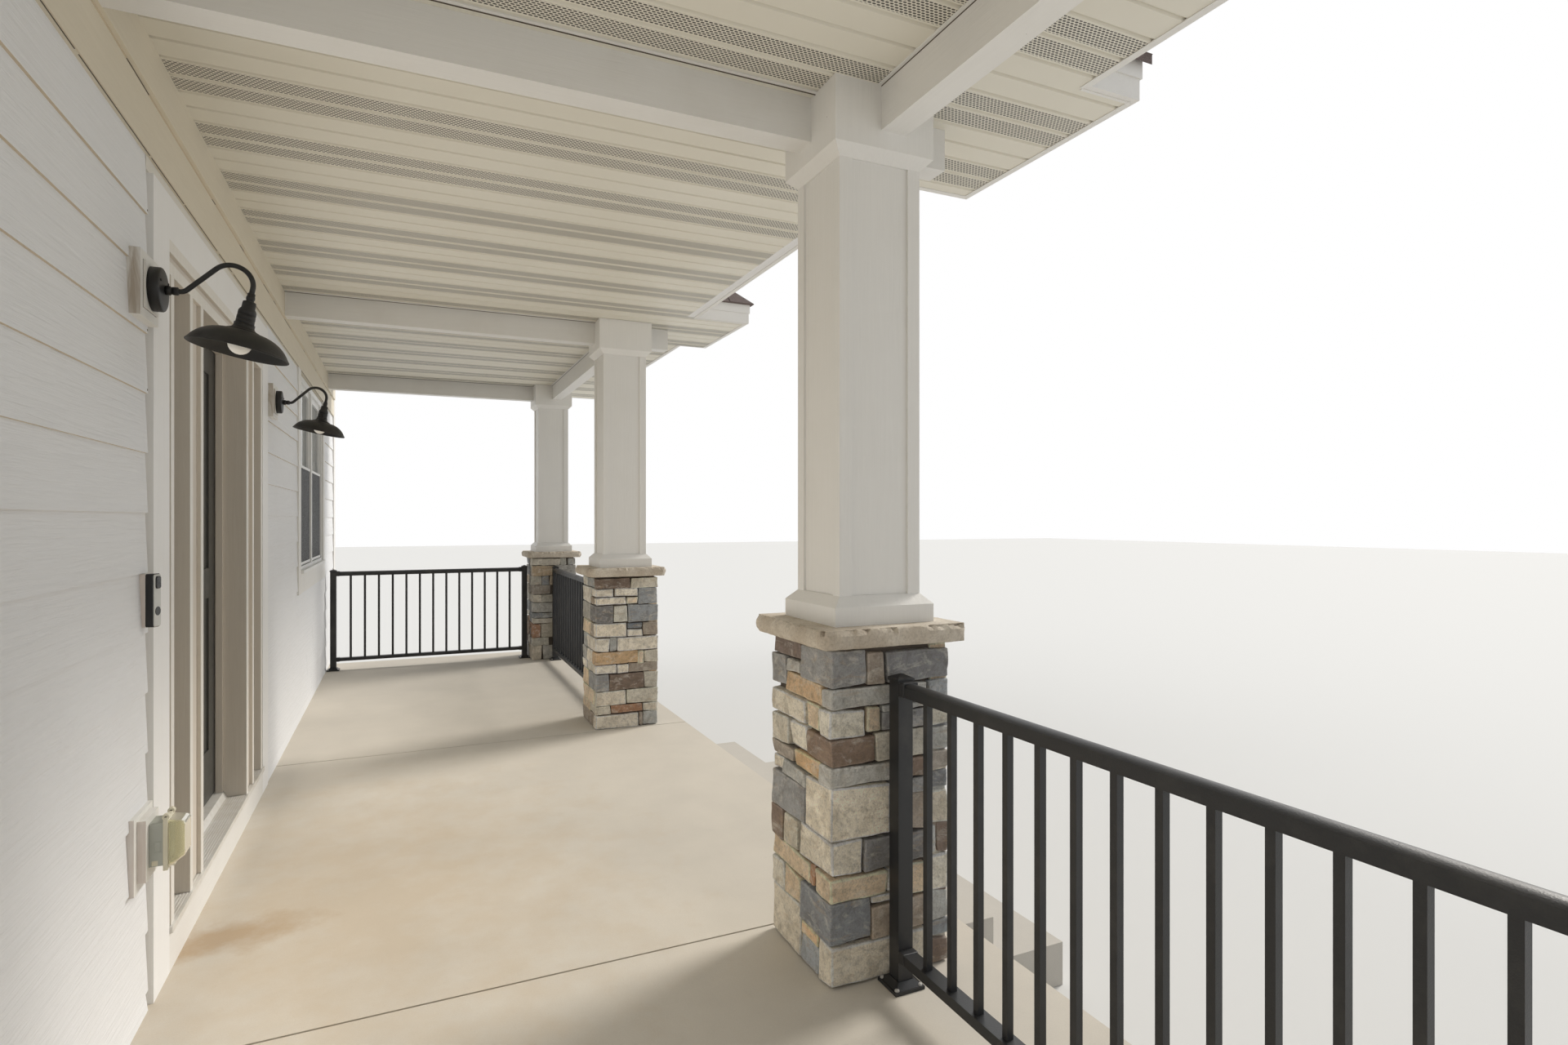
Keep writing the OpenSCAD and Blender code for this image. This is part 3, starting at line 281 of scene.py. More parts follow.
def concrete(name, color, broom=0.0006, stains=(), form=False):
    """Poured concrete: cloudy tone and fine sand, with brushed lines across X or, formed, with pits."""
    n = Net(name, color, 0.82)
    cloud = n.noise(1.1, 6, 0.62)
    fine = n.noise(240, 3, 0.6)
    col = n.mix(n.fit(cloud, 0.35, 0.72), shade(color, 0.90), shade(color, 1.06))
    col = n.mix(n.fit(fine, 0.35, 0.7, 0.0, 0.16), col, shade(color, 0.62))
    col = n.mix(n.fit(n.noise(16, 4, 0.7), 0.62, 0.80, 0.0, 0.22), col, shade(color, 0.75))
    for at, size, tone, lo, hi, fac in stains:
        k = (1 / size[0], 1 / size[1], 0)
        q = n.add("Mapping", Vector=n.coords(), Location=(-at[0] * k[0], -at[1] * k[1], 0), Scale=k)
        d = n.add("VectorMath", out=1, props={"operation": "LENGTH"}, i0=q)
        edge = n.math("+", d, n.math("*", n.math("-", n.noise(5.5, 6, 0.65), 0.5), 2.2))
        col = n.mix(n.fit(edge, lo, hi, 0.0, fac), col, tone)
    n.color(col)
    n.rough(n.fit(cloud, 0.3, 0.7, 0.74, 0.92))
    if form:
        relief = n.fit(n.add("TexVoronoi", Vector=n.coords(), Scale=26), 0.0, 0.10, -1.2, 0.0)
    else:
        relief = n.noise(1.0, 4, 0.6, n.coords((330, 6, 330)), 0.3)
    return n.bump(n.math("+", relief, n.math("*", fine, 0.35)), broom)


def rock(name, rough=0.85, bump=0.010):
    """Split stone that takes its main tone from the mesh's tint, with grey clouds and pale patches."""
    n = Net(name, (0.5, 0.5, 0.5), rough)
    tint = n.add("Attribute", props={"attribute_name": "tint"})
    pale = n.noise(17, 6, 0.68, n.coords((1, 1, 1.8)), 0.8)
    mid = n.noise(42, 6, 0.72)
    fine = n.noise(150, 4, 0.75)
    vein = n.noise(7, 6, 0.6, n.coords((1, 1, 3.5)), 2.0)
    cloud = n.fit(n.noise(10, 6, 0.62, None, 1.4), 0.44, 0.60, 0.0, 0.60)
    col = n.mix(cloud, tint, (0.62, 0.60, 0.57), "MULTIPLY")
    col = n.mix(n.fit(pale, 0.52, 0.66, 0.0, 0.45), col, (0.84, 0.80, 0.72))
    col = n.mix(n.fit(vein, 0.57, 0.65, 0.0, 0.32), col, (0.52, 0.39, 0.25))
    col = n.mix(n.fit(mid, 0.30, 0.50, 0.42, 0.0), col, (0.15, 0.135, 0.12))
    n.color(n.mix(n.fit(fine, 0.32, 0.52, 0.35, 0.0), col, (0.12, 0.11, 0.10)))
    n.rough(n.fit(fine, 0.3, 0.7, rough - 0.1, rough + 0.08))
    relief = n.math("+", mid, n.math("*", pale, 0.8))
    return n.bump(n.math("+", relief, n.math("*", fine, 0.35)), bump)


def limestone():
    n = Net("limestone", (0.60, 0.52, 0.42), 0.85)
    big = n.noise(7, 6, 0.6)
    fine = n.noise(120, 4, 0.7)
    col = n.mix(n.fit(big, 0.35, 0.7), (0.50, 0.43, 0.345), (0.70, 0.645, 0.555))
    n.color(n.mix(n.fit(fine, 0.30, 0.55, 0.40, 0.0), col, (0.22, 0.18, 0.14)))
    return n.bump(n.math("+", big, n.math("*", fine, 0.5)), 0.004)


def shingle():
    """Mineral granules over the tint of each shingle."""
    n = Net("shingle_granules", (0.1, 0.08, 0.08), 0.92)
    tint = n.add("Attribute", props={"attribute_name": "tint"})
    grit = n.noise(420, 2, 0.6)
    col = n.mix(n.fit(grit, 0.35, 0.66, 0.0, 0.6), tint, (0.30, 0.24, 0.22))
    n.color(n.mix(n.fit(n.noise(7, 4, 0.6), 0.40, 0.70, 0.0, 0.35), col, (0.045, 0.035, 0.035)))
    return n.bump(grit, 0.0014)


def coated(name, color, rough=0.34, peel=0.0004, dust=0.12):
    """Powder coat with a fine orange peel and a little dust."""
    n = Net(name, color, rough)
    d = n.noise(5, 6, 0.65)
    n.color(n.mix(n.fit(d, 0.50, 0.82, 0.0, dust), color, (0.34, 0.31, 0.27)))
    n.rough(n.fit(d, 0.35, 0.8, rough, rough + 0.22))
    return n.bump(n.noise(330, 2, 0.5), peel)


def sill():
    n = Net("sill_aluminium", (0.72, 0.71, 0.68), 0.5, 0.12)
    d = n.noise(8, 6, 0.6)
    n.color(n.mix(n.fit(d, 0.40, 0.75, 0.0, 0.6), (0.74, 0.73, 0.70), (0.52, 0.47, 0.38)))
    n.rough(n.fit(d, 0.3, 0.8, 0.34, 0.62))
    return n.bump(n.noise(160, 3), 0.0004)


def glazing(name, color, trans, rough=0.03):
    n = Net(name, color, rough)
    n.b.inputs["Transmission Weight"].default_value = trans
    n.b.inputs["IOR"].default_value = 1.45
    n.rough(n.fit(n.noise(3, 6, 0.6), 0.4, 0.8, rough, rough + 0.10))
    return n.bump(n.noise(2.0, 2), 0.0010)


def screen():
    """Dark insect screen: fine wires across a see-through sheet."""
    n = Net("insect_screen", (0.030, 0.032, 0.033), 0.6)
    pitch = 0.0016
    x, _, z = n.xyz()
    wires = []
    for place, whole in ((x, 9000), (z, 0)):
        turn = n.math("FRACT", n.math("+", n.math("/", place, pitch), whole))
        wires.append(n.math(">", n.math("ABSOLUTE", n.math("-", turn, 0.5)), 0.32))
    n.t.links.new(n.fit(n.math("MAXIMUM", *wires), 0, 1, 0.35, 1.0), n.b.inputs["Alpha"])
    return n.m


M_JAMB = jamb_paint()
M_BLOCK = block_paint()
M_SOFFIT = soffit()
M_FLOOR = concrete("floor_concrete", (0.65, 0.605, 0.53), stains=STAINS)
M_STEP = concrete("step_concrete", (0.58, 0.55, 0.50))
M_FOOTING = concrete("footing_concrete", (0.47, 0.455, 0.43), 0.0012, form=True)
M_MORTAR = concrete("mortar", (0.105, 0.085, 0.068), 0.003, form=True)
M_STONE = rock("split_stone")
M_CAP = limestone()
M_SHINGLE = shingle()
M_RAIL = coated("rail_black", (0.017, 0.018, 0.020))
M_LAMP = coated("lamp_black", (0.010, 0.010, 0.010), 0.40, 0.0005, 0.10)
M_HARD = coated("hardware_black", (0.020, 0.020, 0.021), 0.3, 0.0002, 0.08)
M_DOOR = coated("door_paint", (0.062, 0.062, 0.056), 0.38, 0.0005, 0.10)
M_BELL = coated("bell_plastic", (0.012, 0.012, 0.013), 0.16, 0.00005, 0.10)
M_SCREW = coated("screw_zinc", (0.42, 0.41, 0.39), 0.35, 0.0002, 0.3)
M_VINYL = coated("frame_vinyl", (0.80, 0.80, 0.79), 0.38, 0.0002, 0.06)
M_BOX = coated("outlet_grey", (0.44, 0.46, 0.42), 0.5, 0.0002, 0.25)
M_CREAM = coated("outlet_cream", (0.70, 0.66, 0.52), 0.45, 0.0002, 0.20)
M_NICKEL = coated("bell_nickel", (0.62, 0.62, 0.60), 0.32, 0.0001, 0.10)
M_SILL = sill()
M_GLASS = glazing("window_glass", (0.30, 0.33, 0.34), 0.82)
M_BULB = glazing("frosted_bulb", (0.90, 0.88, 0.83), 0.10, 0.45)
M_LID = glazing("yellowed_lid", (0.86, 0.83, 0.62), 0.72, 0.16)
M_SCREEN = screen()


# Mesh helpers

def link(name, data):
    ob = bpy.data.objects.new(name, data)
    bpy.context.scene.collection.objects.link(ob)
    return ob


def soften(ob, width):
    """Slightly broken edges."""
    if width:
        b = ob.modifiers.new("edge", "BEVEL")
        b.width, b.segments, b.limit_method, b.angle_limit = width, 2, "ANGLE", 0.6


def dress(mat, bevel, names):
    """Gives CAD nodes their material and their edges."""
    for name in names.split():
        NODE[name].data.materials.clear()
        NODE[name].data.materials.append(mat)
        soften(NODE[name], bevel)


def mm(text):
    """Pairs of numbers in millimetres, as metres."""
    return [tuple(float(v) / 1000 for v in pair.split()) for pair in text.split(",")]


def stand(at, axis):
    """A place whose Z points along an axis."""
    turn = Vector((0, 0, 1)).rotation_difference(Vector(axis)).to_matrix().to_4x4()
    return Matrix.Translation(at) @ turn


class Mesh:
    """Collects closed solids into one mesh, with a tint and a material number for each face."""

    def __init__(self):
        self.v, self.f, self.t, self.k = [], [], [], []

    def put(self, verts, faces, tint=None, kind=None):
        o = len(self.v)
        self.v += [tuple(p) for p in verts]
        self.f += [tuple(i + o for i in f) for f in faces]
        self.t += tint if isinstance(tint, list) else [tint] * len(faces)
        self.k += kind or [0] * len(faces)

    def loft(self, rings, tint=None, kind=None, way=1):
        """Rings of points joined into a closed solid; way -1 turns its faces round."""
        n, last = len(rings[0]), len(rings) - 1
        f = [range(n)[::-1], range(last * n, last * n + n)]
        f += [(i * n + j, i * n + (j + 1) % n, (i + 1) * n + (j + 1) % n, (i + 1) * n + j)
              for i in range(last) for j in range(n)]
        self.put([q for ring in rings for q in ring], [q[::way] for q in f], tint, kind)

    def box(self, p, q, s=1):
        """A box between two opposite corners; with s of -1 it is mirrored to the left."""
        (a, d), (b, e), (c, f) = [sorted((u * k, v * k)) for u, v, k in zip(p, q, (s, 1, 1))]
        self.loft([[(a, b, z), (d, b, z), (d, e, z), (a, e, z)] for z in (c, f)])

    def lathe(self, profile, place, n=48):
        """Radius and height pairs turned round an axis; a closed profile makes a ring."""
        k = len(profile)
        turns = [2 * math.pi * i / n for i in range(n)]
        v = [place @ Vector((r * math.cos(a), r * math.sin(a), z)) for a in turns for r, z in profile]
        f = [(i * k + j, (i + 1) % n * k + j, (i + 1) % n * k + (j + 1) % k, i * k + (j + 1) % k)
             for i in range(n) for j in range(k)]
        self.put(v, f)

    def tube(self, path, radius, n):
        """A round bar along a path of points."""
        rings, u = [], None
        turns = [2 * math.pi * j / n for j in range(n)]
        for i, p in enumerate(path):
            t = (Vector(path[min(i + 1, len(path) - 1)]) - Vector(path[max(i - 1, 0)])).normalized()
            u = u - t * u.dot(t) if u else t.orthogonal()
            u.normalize()
            w = t.cross(u)
            rings.append([Vector(p) + (u * math.cos(a) + w * math.sin(a)) * radius for a in turns])
        self.loft(rings)

    def dome(self, at, axis, r, h):
        """A low round head of a screw or bolt, standing on a surface."""
        self.lathe([(0, -0.001), (r, -0.001), (r, h * 0.35), (r * 0.8, h * 0.8), (r * 0.4, h), (0, h)],
                   stand(at, axis), 14)

    def done(self, name, mat, slot, replaces=(), smooth=False, bevel=0.0):
        """Makes the piece, which rides on the porch."""
        me = bpy.data.meshes.new(name)
        me.from_pydata(self.v, [], self.f)
        me.validate()
        ob = link(name, me)
        for m in mat if isinstance(mat, list) else [mat]:
            me.materials.append(m)
        if any(c is not None for c in self.t):
            cols = np.ones((len(me.loops), 4), np.float32)
            for p in me.polygons:
                cols[p.loop_start:p.loop_start + p.loop_total, :3] = self.t[p.index]
            me.color_attributes.new("tint", "FLOAT_COLOR", "CORNER").data.foreach_set("color", cols.ravel())
        if any(self.k):
            me.polygons.foreach_set("material_index", self.k)
        if smooth:
            me.polygons.foreach_set("use_smooth", [True] * len(me.polygons))
        soften(ob, bevel)
        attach(ob, "porch")
        if replaces:
            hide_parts(*replaces)
        return ob


def crisp(ob):
    """Smooth faces with sharp arrises."""
    ob.data.set_sharp_from_angle(angle=math.radians(26))
    return ob


# Camera at the photograph's place
cam = link("camera", bpy.data.cameras.new("camera"))
cam.location = (-3.975, -0.686, FLOOR + 1.399)
cam.rotation_euler = (math.radians(90), 0, math.radians(-90 - 24.925))
cam.data.sensor_width = 36
cam.data.lens = 18.68
cam.data.shift_y = -0.0021
cam.data.clip_start = 0.05
bpy.context.scene.camera = cam


# Stones

TONES = {
    "blue": (0.335, 0.348, 0.362), "slate": (0.225, 0.235, 0.250), "grey": (0.47, 0.47, 0.45),
    "greige": (0.58, 0.55, 0.475), "cream": (0.75, 0.69, 0.585), "buff": (0.68, 0.555, 0.41),
    "orange": (0.66, 0.47, 0.29), "taupe": (0.37, 0.32, 0.27), "brown": (0.235, 0.175, 0.14),
    "rust": (0.42, 0.23, 0.13),
}
WEIGHTS = {"cream": 5, "buff": 3, "greige": 3, "grey": 3, "blue": 3, "slate": 2, "taupe": 2, "brown": 2,
           "orange": 1, "rust": 1}
POOL = [tone for tone, k in WEIGHTS.items() for _ in range(k)]


def rounded(mesh, lo, hi, r, amp, tint, seed, step=0.019, warp=0.0050):
    """A stone: a box with rounded edges, a rough face, slightly uneven corners and paler, worn edges."""
    axes = []
    for a, b in zip(lo, hi):
        k = max(1, round((b - a - 2 * r) / step))
        inner = [a + r + (b - a - 2 * r) * i / k for i in range(1, k)]
        axes.append([a, a + r * 0.4, a + r] + inner + [b - r, b - r * 0.4, b])
    n = [len(s) for s in axes]
    ids, verts = {}, []
    size = Vector(hi) - Vector(lo)
    jig = random.Random(seed)
    ends = (0, 1)
    corner = {(i, j, k): Vector([jig.uniform(-warp, warp) for _ in range(3)])
              for i in ends for j in ends for k in ends}
    shift = Vector((seed * 1.37, seed * 0.71, 0))

    def vert(i, j, k):
        if (i, j, k) not in ids:
            p = Vector((axes[0][i], axes[1][j], axes[2][k]))
            q = Vector(min(max(p[a], lo[a] + r), hi[a] - r) for a in range(3))
            d = p - q
            out = d.normalized() if d.length > 1e-9 else Vector((0, 0, 0))
            f = sum(noise.noise((p + shift) * fine) * high
                    for fine, high in ((17, 0.7), (47, 0.35), (110, 0.18)))
            s = q + out * (r + amp * f)
            w = [(p[a] - lo[a]) / size[a] for a in range(3)]
            for c, off in corner.items():
                s += off * np.prod([w[a] if c[a] else 1 - w[a] for a in range(3)])
            ids[i, j, k] = len(verts)
            verts.append(s)
        return ids[i, j, k]

    k = 1 + jig.uniform(-0.12, 0.12)
    warm = jig.uniform(-0.02, 0.02)
    main = tuple(max(0.02, v * k + w) for v, w in zip(tint, (warm, 0.0, -warm)))
    worn = tuple(min(0.85, v * 1.10 + 0.035) for v in main)
    faces, tones = [], []
    for a in range(3):
        b, c = (a + 1) % 3, (a + 2) % 3
        for side in (0, n[a] - 1):
            for j in range(n[b] - 1):
                for k in range(n[c] - 1):
                    rim = j in (0, 1, n[b] - 3, n[b] - 2) or k in (0, 1, n[c] - 3, n[c] - 2)
                    tones.append(worn if rim else main)
                    q = []
                    for dj, dk in ((0, 0), (1, 0), (1, 1), (0, 1)):
                        at = [0, 0, 0]
                        at[a], at[b], at[c] = side, j + dj, k + dk
                        q.append(vert(*at))
                    faces.append(q if side else q[::-1])
    mesh.put(verts, faces, tones)


# Stones of the two entry piers that the camera sees, in millimetres. A stone has its start and end
# along the face, its low and high edge, and its tone. A corner stone starts with c and has its
# reach along the first face and along the second. The first list of a pier faces the near end.
NEAR_A = """
c 120 208 897 1002 blue|128 187 900 994 taupe|194 420 899 996 slate|c 338 54 834 890 grey|
345 420 822 892 blue|c 121 72 748 828 cream|127 172 752 828 buff|178 338 812 829 grey|
178 338 752 806 slate|345 420 752 816 greige|c 149 160 662 742 brown|155 338 664 746 greige|
345 420 674 746 grey|c 234 72 600 656 grey|240 338 600 656 brown|345 420 612 668 taupe|
c 202 168 440 594 cream|208 338 552 594 blue|208 235 514 546 taupe|208 235 440 508 cream|
241 338 436 546 taupe|345 420 554 606 slate|345 420 442 548 cream|c 108 206 336 434 cream|
114 338 338 430 slate|345 374 352 436 grey|380 420 346 436 brown|c 190 98 256 330 buff|
196 232 258 332 cream|238 338 232 332 buff|345 420 236 340 cream|c 135 200 134 250 slate|
141 216 228 252 cream|141 338 129 222 taupe|345 420 140 230 grey|c 338 80 4 124 cream|345 420 84 134 blue|
345 420 4 78 brown"""
NEAR_B = """
208 420 950 1004 brown|316 420 850 944 blue|214 310 904 944 grey|60 310 836 896 orange|
166 420 754 830 cream|78 160 752 828 buff|286 420 656 748 greige|167 280 662 746 cream|
252 420 610 650 taupe|78 246 602 656 orange|342 420 560 604 cream|170 336 556 600 grey|
176 420 438 550 blue|330 420 334 432 brown|214 324 334 432 greige|142 420 262 328 buff|
106 136 270 330 rust|206 324 170 256 buff|330 420 170 256 greige|206 420 4 164 cream|88 200 92 126 orange|
88 200 4 86 blue"""
MID_A = """
c 230 56 938 1002 brown|238 420 938 1000 greige|c 118 150 880 933 cream|124 281 880 935 cream|
288 420 828 934 blue|c 203 60 827 873 cream|209 281 827 873 buff|c 114 185 707 821 slate|
121 209 707 821 greige|216 420 708 821 blue|c 209 56 613 700 cream|216 312 662 701 slate|
213 314 613 656 cream|320 420 614 701 taupe|c 90 270 517 607 cream|96 138 518 607 grey|
144 420 517 607 cream|c 281 105 431 511 orange|286 322 430 510 buff|328 420 429 511 greige|
c 134 66 371 425 cream|140 216 371 424 cream|222 420 369 424 taupe|c 84 220 256 365 blue|
91 324 256 364 brown|330 420 255 363 greige|c 203 46 157 250 cream|210 420 158 250 greige|
c 97 170 99 151 greige|104 312 99 152 rust|318 420 99 152 cream|c 284 70 4 93 cream|290 316 4 93 taupe|
322 420 4 93 grey"""
MID_B = """
62 270 938 1000 grey|276 420 938 1000 greige|156 420 828 934 cream|66 150 828 873 taupe|
191 420 707 821 grey|62 140 613 701 taupe|146 420 613 701 buff|276 420 517 607 grey|111 270 431 511 cream|
276 420 429 511 grey|72 270 371 425 greige|276 420 369 424 cream|226 420 256 364 buff|52 400 157 250 buff|
176 420 99 152 buff|76 420 4 93 taupe"""
LAID = {1: (NEAR_A, NEAR_B), 2: (MID_A, MID_B)}
# How much a pier's light stones and its darker ones are brightened: painted light that makes the two entry piers
# brighter than the others, which are darkened a little
LIGHT = ("cream", "greige", "buff")
PIER_PAINTED_LIGHT = {1: (1.35, 1.35), 2: (1.32, 1.10)}


def courses(seed):
    """Heights of the courses of a pier, low to high, in millimetres."""
    r = random.Random(seed)
    out, z = [], 4.0
    top = (PIERS[1].z - PIERS[0].z) * 1000 - 4
    while top - z > 60:
        h = r.choice([54, 62, 78, 92, 104, 122, 140])
        if top - z - h < 60:
            h = top - z
        out.append((z, z + h - 6))
        z += h
    return out


def build_pier(i, cx):
    """A dark core with stones round it: laid after the photograph on faces 0 and 1, else at random."""
    core, m = Mesh(), Mesh()
    h = PIER_W / 2
    z0 = PIERS[0].z
    sunk = 0.020
    core.box((cx - h + sunk, COL_Y - h + sunk, z0), (cx + h - sunk, COL_Y + h - sunk, PIERS[1].z))
    seed = 100 * i
    # Painted light: the entry piers' stones are brightened and the others' darkened a little
    light, dark = PIER_PAINTED_LIGHT.get(i, (0.95, 0.95))

    def draw(lo, hi):
        """A random value of the next stone's own."""
        nonlocal seed
        seed += 1
        return random.Random(seed).uniform(lo, hi)

    def place(spread, lo, hi, most, amp, tone):
        (xa, ya), (xb, yb) = spread
        rounded(m, (cx + xa, COL_Y + ya, z0 + lo / 1000), (cx + xb, COL_Y + yb, z0 + hi / 1000),
                min(most, (hi - lo) / 4000), amp, shade(TONES[tone], light if tone in LIGHT else dark), seed)

    def stone(face, a, b, lo, hi, tone):
        """A stone on face 0 to 3; a and b are measured from the face's first corner."""
        a, b, deep, out = [v / 1000 for v in (a, b, 60.0, draw(-3, 5))]
        p0, p1 = -h + a, -h + b
        place([((-h - out, -p1), (-h + deep, -p0)), ((p0, h - deep), (p1, h + out)),
               ((h - deep, p0), (h + out, p1)), ((-p1, -h - out), (-p0, -h + deep))][face],
              lo, hi, 0.0055, 0.0042, tone)

    def corner(c, wa, wb, lo, hi, tone):
        """A stone round the corner between face c and the next; wa is its length back along face c."""
        o = draw(0.0, 0.004)
        wa, wb = wa / 1000, wb / 1000
        place([((-h - o, h - wa), (-h + wb, h + o)), ((h - wa, h - wb), (h + o, h + o)),
               ((h - wb, -h - o), (h + o, -h + wa)), ((-h - o, -h - o), (-h + wa, -h + wb))][c],
              lo, hi, 0.0060, 0.0044, tone)

    for face, text in enumerate(LAID.get(i, ())):
        for part in text.replace("\n", "").split("|"):
            *numbers, tone = part.split()
            if numbers[0] == "c":
                corner(0, *map(float, numbers[1:]), tone)
            else:
                stone(face, *map(float, numbers), tone)
    # A laid pier has its corners 1 and 3 filled by the stones of the random faces beside them
    corners, faces, bare = ([1, 2, 3], [2, 3], (1, 3)) if i in LAID else ([0, 1, 2, 3], [0, 1, 2, 3], ())
    r = random.Random(40 + i)
    last = None
    for c, (lo, hi) in enumerate(courses(20 + i)):
        tones, reach = {}, []
        for k in corners:
            tones[k] = last = r.choice([t for t in POOL if t != last])
        for k in range(4):
            spans = [(70, 110), (150, 215)]
            reach.append([r.uniform(*span) for span in spans[::-1 if (k + c) % 2 else 1]])
        for k in corners:
            if k not in bare:
                corner(k, *reach[k], lo, hi, tones[k])
        for face in faces:
            before = (face - 1) % 4
            a = 6 + (0 if before in bare else reach[before][1])
            b = PIER_W * 1000 - 6 - (0 if face in bare else reach[face][0])
            while b - a > 30:
                w = r.uniform(60, 190)
                if b - a - w < 50:
                    w = b - a
                parts = [(lo, hi)]
                if hi - lo > 84 and r.random() < 0.35 and w > 60:
                    mid = lo + (hi - lo) * r.uniform(0.38, 0.62)
                    parts = [(lo, mid - 3), (mid + 3, hi)]
                for low, high in parts:
                    stone(face, a, a + w - 3, low, high, r.choice(POOL))
                a += w + 3
    core.done(f"pier_core_{i + 1}", M_MORTAR, "stone")
    return crisp(m.done(f"pier_stones_{i + 1}", M_STONE, "stone", smooth=True))


piers = [build_pier(i, x) for i, x in enumerate(COLUMNS)]
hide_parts("stone_piers")


def build_caps():
    """Limestone caps with a flat top, clipped corners and rough, hammered edges."""
    m = Mesh()
    z0, z1 = CAPS[0].z, CAPS[1].z
    h = (CAPS[1].y - CAPS[0].y) / 2
    lim = 2 * h - 0.030
    for i, cx in enumerate(COLUMNS):
        part = Mesh()
        rounded(part, (cx - h, COL_Y - h, z0), (cx + h, COL_Y + h, z1), 0.004, 0.0, (0.6, 0.5, 0.4), 900 + i,
                0.012, 0.0)
        out = []
        for x, y, z in part.v:
            p = Vector((x - cx, y - COL_Y, z))
            t = (z - z0) / (z1 - z0)
            if abs(p.x) + abs(p.y) > lim:
                k = lim / (abs(p.x) + abs(p.y))
                p.x, p.y = p.x * k, p.y * k
            if max(abs(p.x), abs(p.y)) > h - 0.012:
                round_in = 0.008 * (2 * t - 1) ** 2
                chisel = 0.006 * noise.noise(Vector((x * 34, y * 34, z * 26 + 5 * i)))
                chisel += 0.0035 * noise.noise(Vector((x * 95, y * 95, z * 60)))
                rough = max(0.0, noise.noise(Vector((x * 75, y * 75, i))) + 0.20)
                chip = 0.012 * max(0.0, t - 0.70) / 0.30 * rough
                k = 1 - (round_in + max(-0.003, chisel) + chip) / h
                p.x, p.y = p.x * k, p.y * k
                p.z -= chip * 0.9
            out.append((p.x + cx, p.y + COL_Y, p.z))
        m.put(out, part.f)
    crisp(m.done("cap_stones", M_CAP, "cap_stone", ["pier_caps"], smooth=True))


build_caps()


# Lapped siding

def lap(m, z0, z1, a0, b0, a1, b1, y):
    """One board: its low edge stands out and its high edge lies back. a and b are its ends at z0 and z1."""
    out, top = 0.020, 0.013
    # The underside takes the second material, a tan that is partly bare wood and partly painted bounce light
    m.loft([[(a0, y, z0), (b0, y, z0), (b0, y - out, z0), (a0, y - out, z0)],
            [(a1, y, z1), (b1, y, z1), (b1, y - top, z1), (a1, y - top, z1)]], kind=[1, 0, 0, 0, 0, 0])


def side_siding(word, s):
    """Siding of one side of the wall, under, beside and over the window and up to the roof."""
    m, channel, crack_shade_and_nails = Mesh(), Mesh(), Mesh()
    jig = random.Random(3)
    x_case, x_out = CASING[1].x, CORNER_X
    x_in = x_case + CHANNEL
    window = levels("window_casings", 0, True)
    wx0, wx1, wz0 = window[0], window[-1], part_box("window_casings")[0].z
    z_end = FRIEZE[0].z

    def board(z, t, a0, b0, a1, b1):
        if s < 0:
            a0, b0, a1, b1 = -b0, -a0, -b1, -a1
        lap(m, z, t, a0, b0, a1, b1, 0.0)

    z = FLOOR + LAP_0 - LAP
    while z < z_end - 0.01:
        lo, top = max(z, FLOOR), min(z + LAP, z_end)
        if z_end - top < 0.01:
            top = z_end
        runs = [(x_in, x_out)] if top <= wz0 + 0.01 else [(x_in, wx0), (wx1, x_out)]
        if lo < wz0 < top:
            runs = [(x_in, wx0), (wx0, wx1), (wx1, x_out)]
        for a, b in runs:
            t = min(top, wz0) if (a, b) == (wx0, wx1) else top
            cuts = [a, a + (b - a) * (0.3 + 0.4 * jig.random()), b] if b - a > 2.5 else [a, b]
            for p, q in zip(cuts, cuts[1:]):
                board(lo, t, p + 0.0012, q - 0.0012, p + 0.0012, q - 0.0012)
        z += LAP
    # The channel beside the entry's casing, and half of the strip over it, in a darker, warmer paint that is
    # painted shade
    channel.box((x_case, -0.006, FLOOR), (x_in, 0.0, CASING[1].z), s)
    channel.box((0.0, -0.015, CASING[1].z), (x_in, 0.0, z_end), s)
    channel.done("channel_" + word, M_CHANNEL_SHADED, "siding")
    # An open crack along the channel as dark strips of painted shade, and rusty nails at the ends of the laps
    lay = random.Random(9)
    z = FLOOR + 0.9
    while z < CASING[1].z - 0.05:
        w = min(lay.uniform(0.10, 0.45), CASING[1].z - z)
        crack_shade_and_nails.box((x_case + 0.0180, -0.0068, z), (x_case + 0.0192, -0.005, z + w), s)
        z += w + lay.uniform(0.02, 0.25)
    z = FLOOR + LAP_0 + 10 * LAP
    while z < z_end:
        crack_shade_and_nails.dome((s * (x_in + 0.006), -0.019, z + 0.010), (0, -1, 0), 0.0032, 0.0014)
        z += LAP
    crack_shade_and_nails.done("crack_shadows_and_nails_" + word, M_GAP_SHADE_NAILS_PINS, "siding")
    # Over the roof, each board begins at the roof's slope
    main_x, low, high = MAIN[1].x, MAIN[0].z, MAIN[1].z
    run = (high - low) / abs(MAIN[0].y)

    def inner(at):
        return max(0.0, min(main_x - (at - low) / run + 0.02, x_out)) if at < high else 0.0

    z = FRIEZE[1].z
    while z < WALL_TOP - 0.005:
        t = min(z + LAP, WALL_TOP)
        board(z, t, inner(z), x_out, inner(high - 0.001) if t > high > z else inner(t), x_out)
        z += LAP
    m.done("siding_" + word, [M_SIDING, M_TAN_EDGE_AND_PAINTED_LIGHT], "siding")


side_siding("left", -1)
side_siding("right", 1)


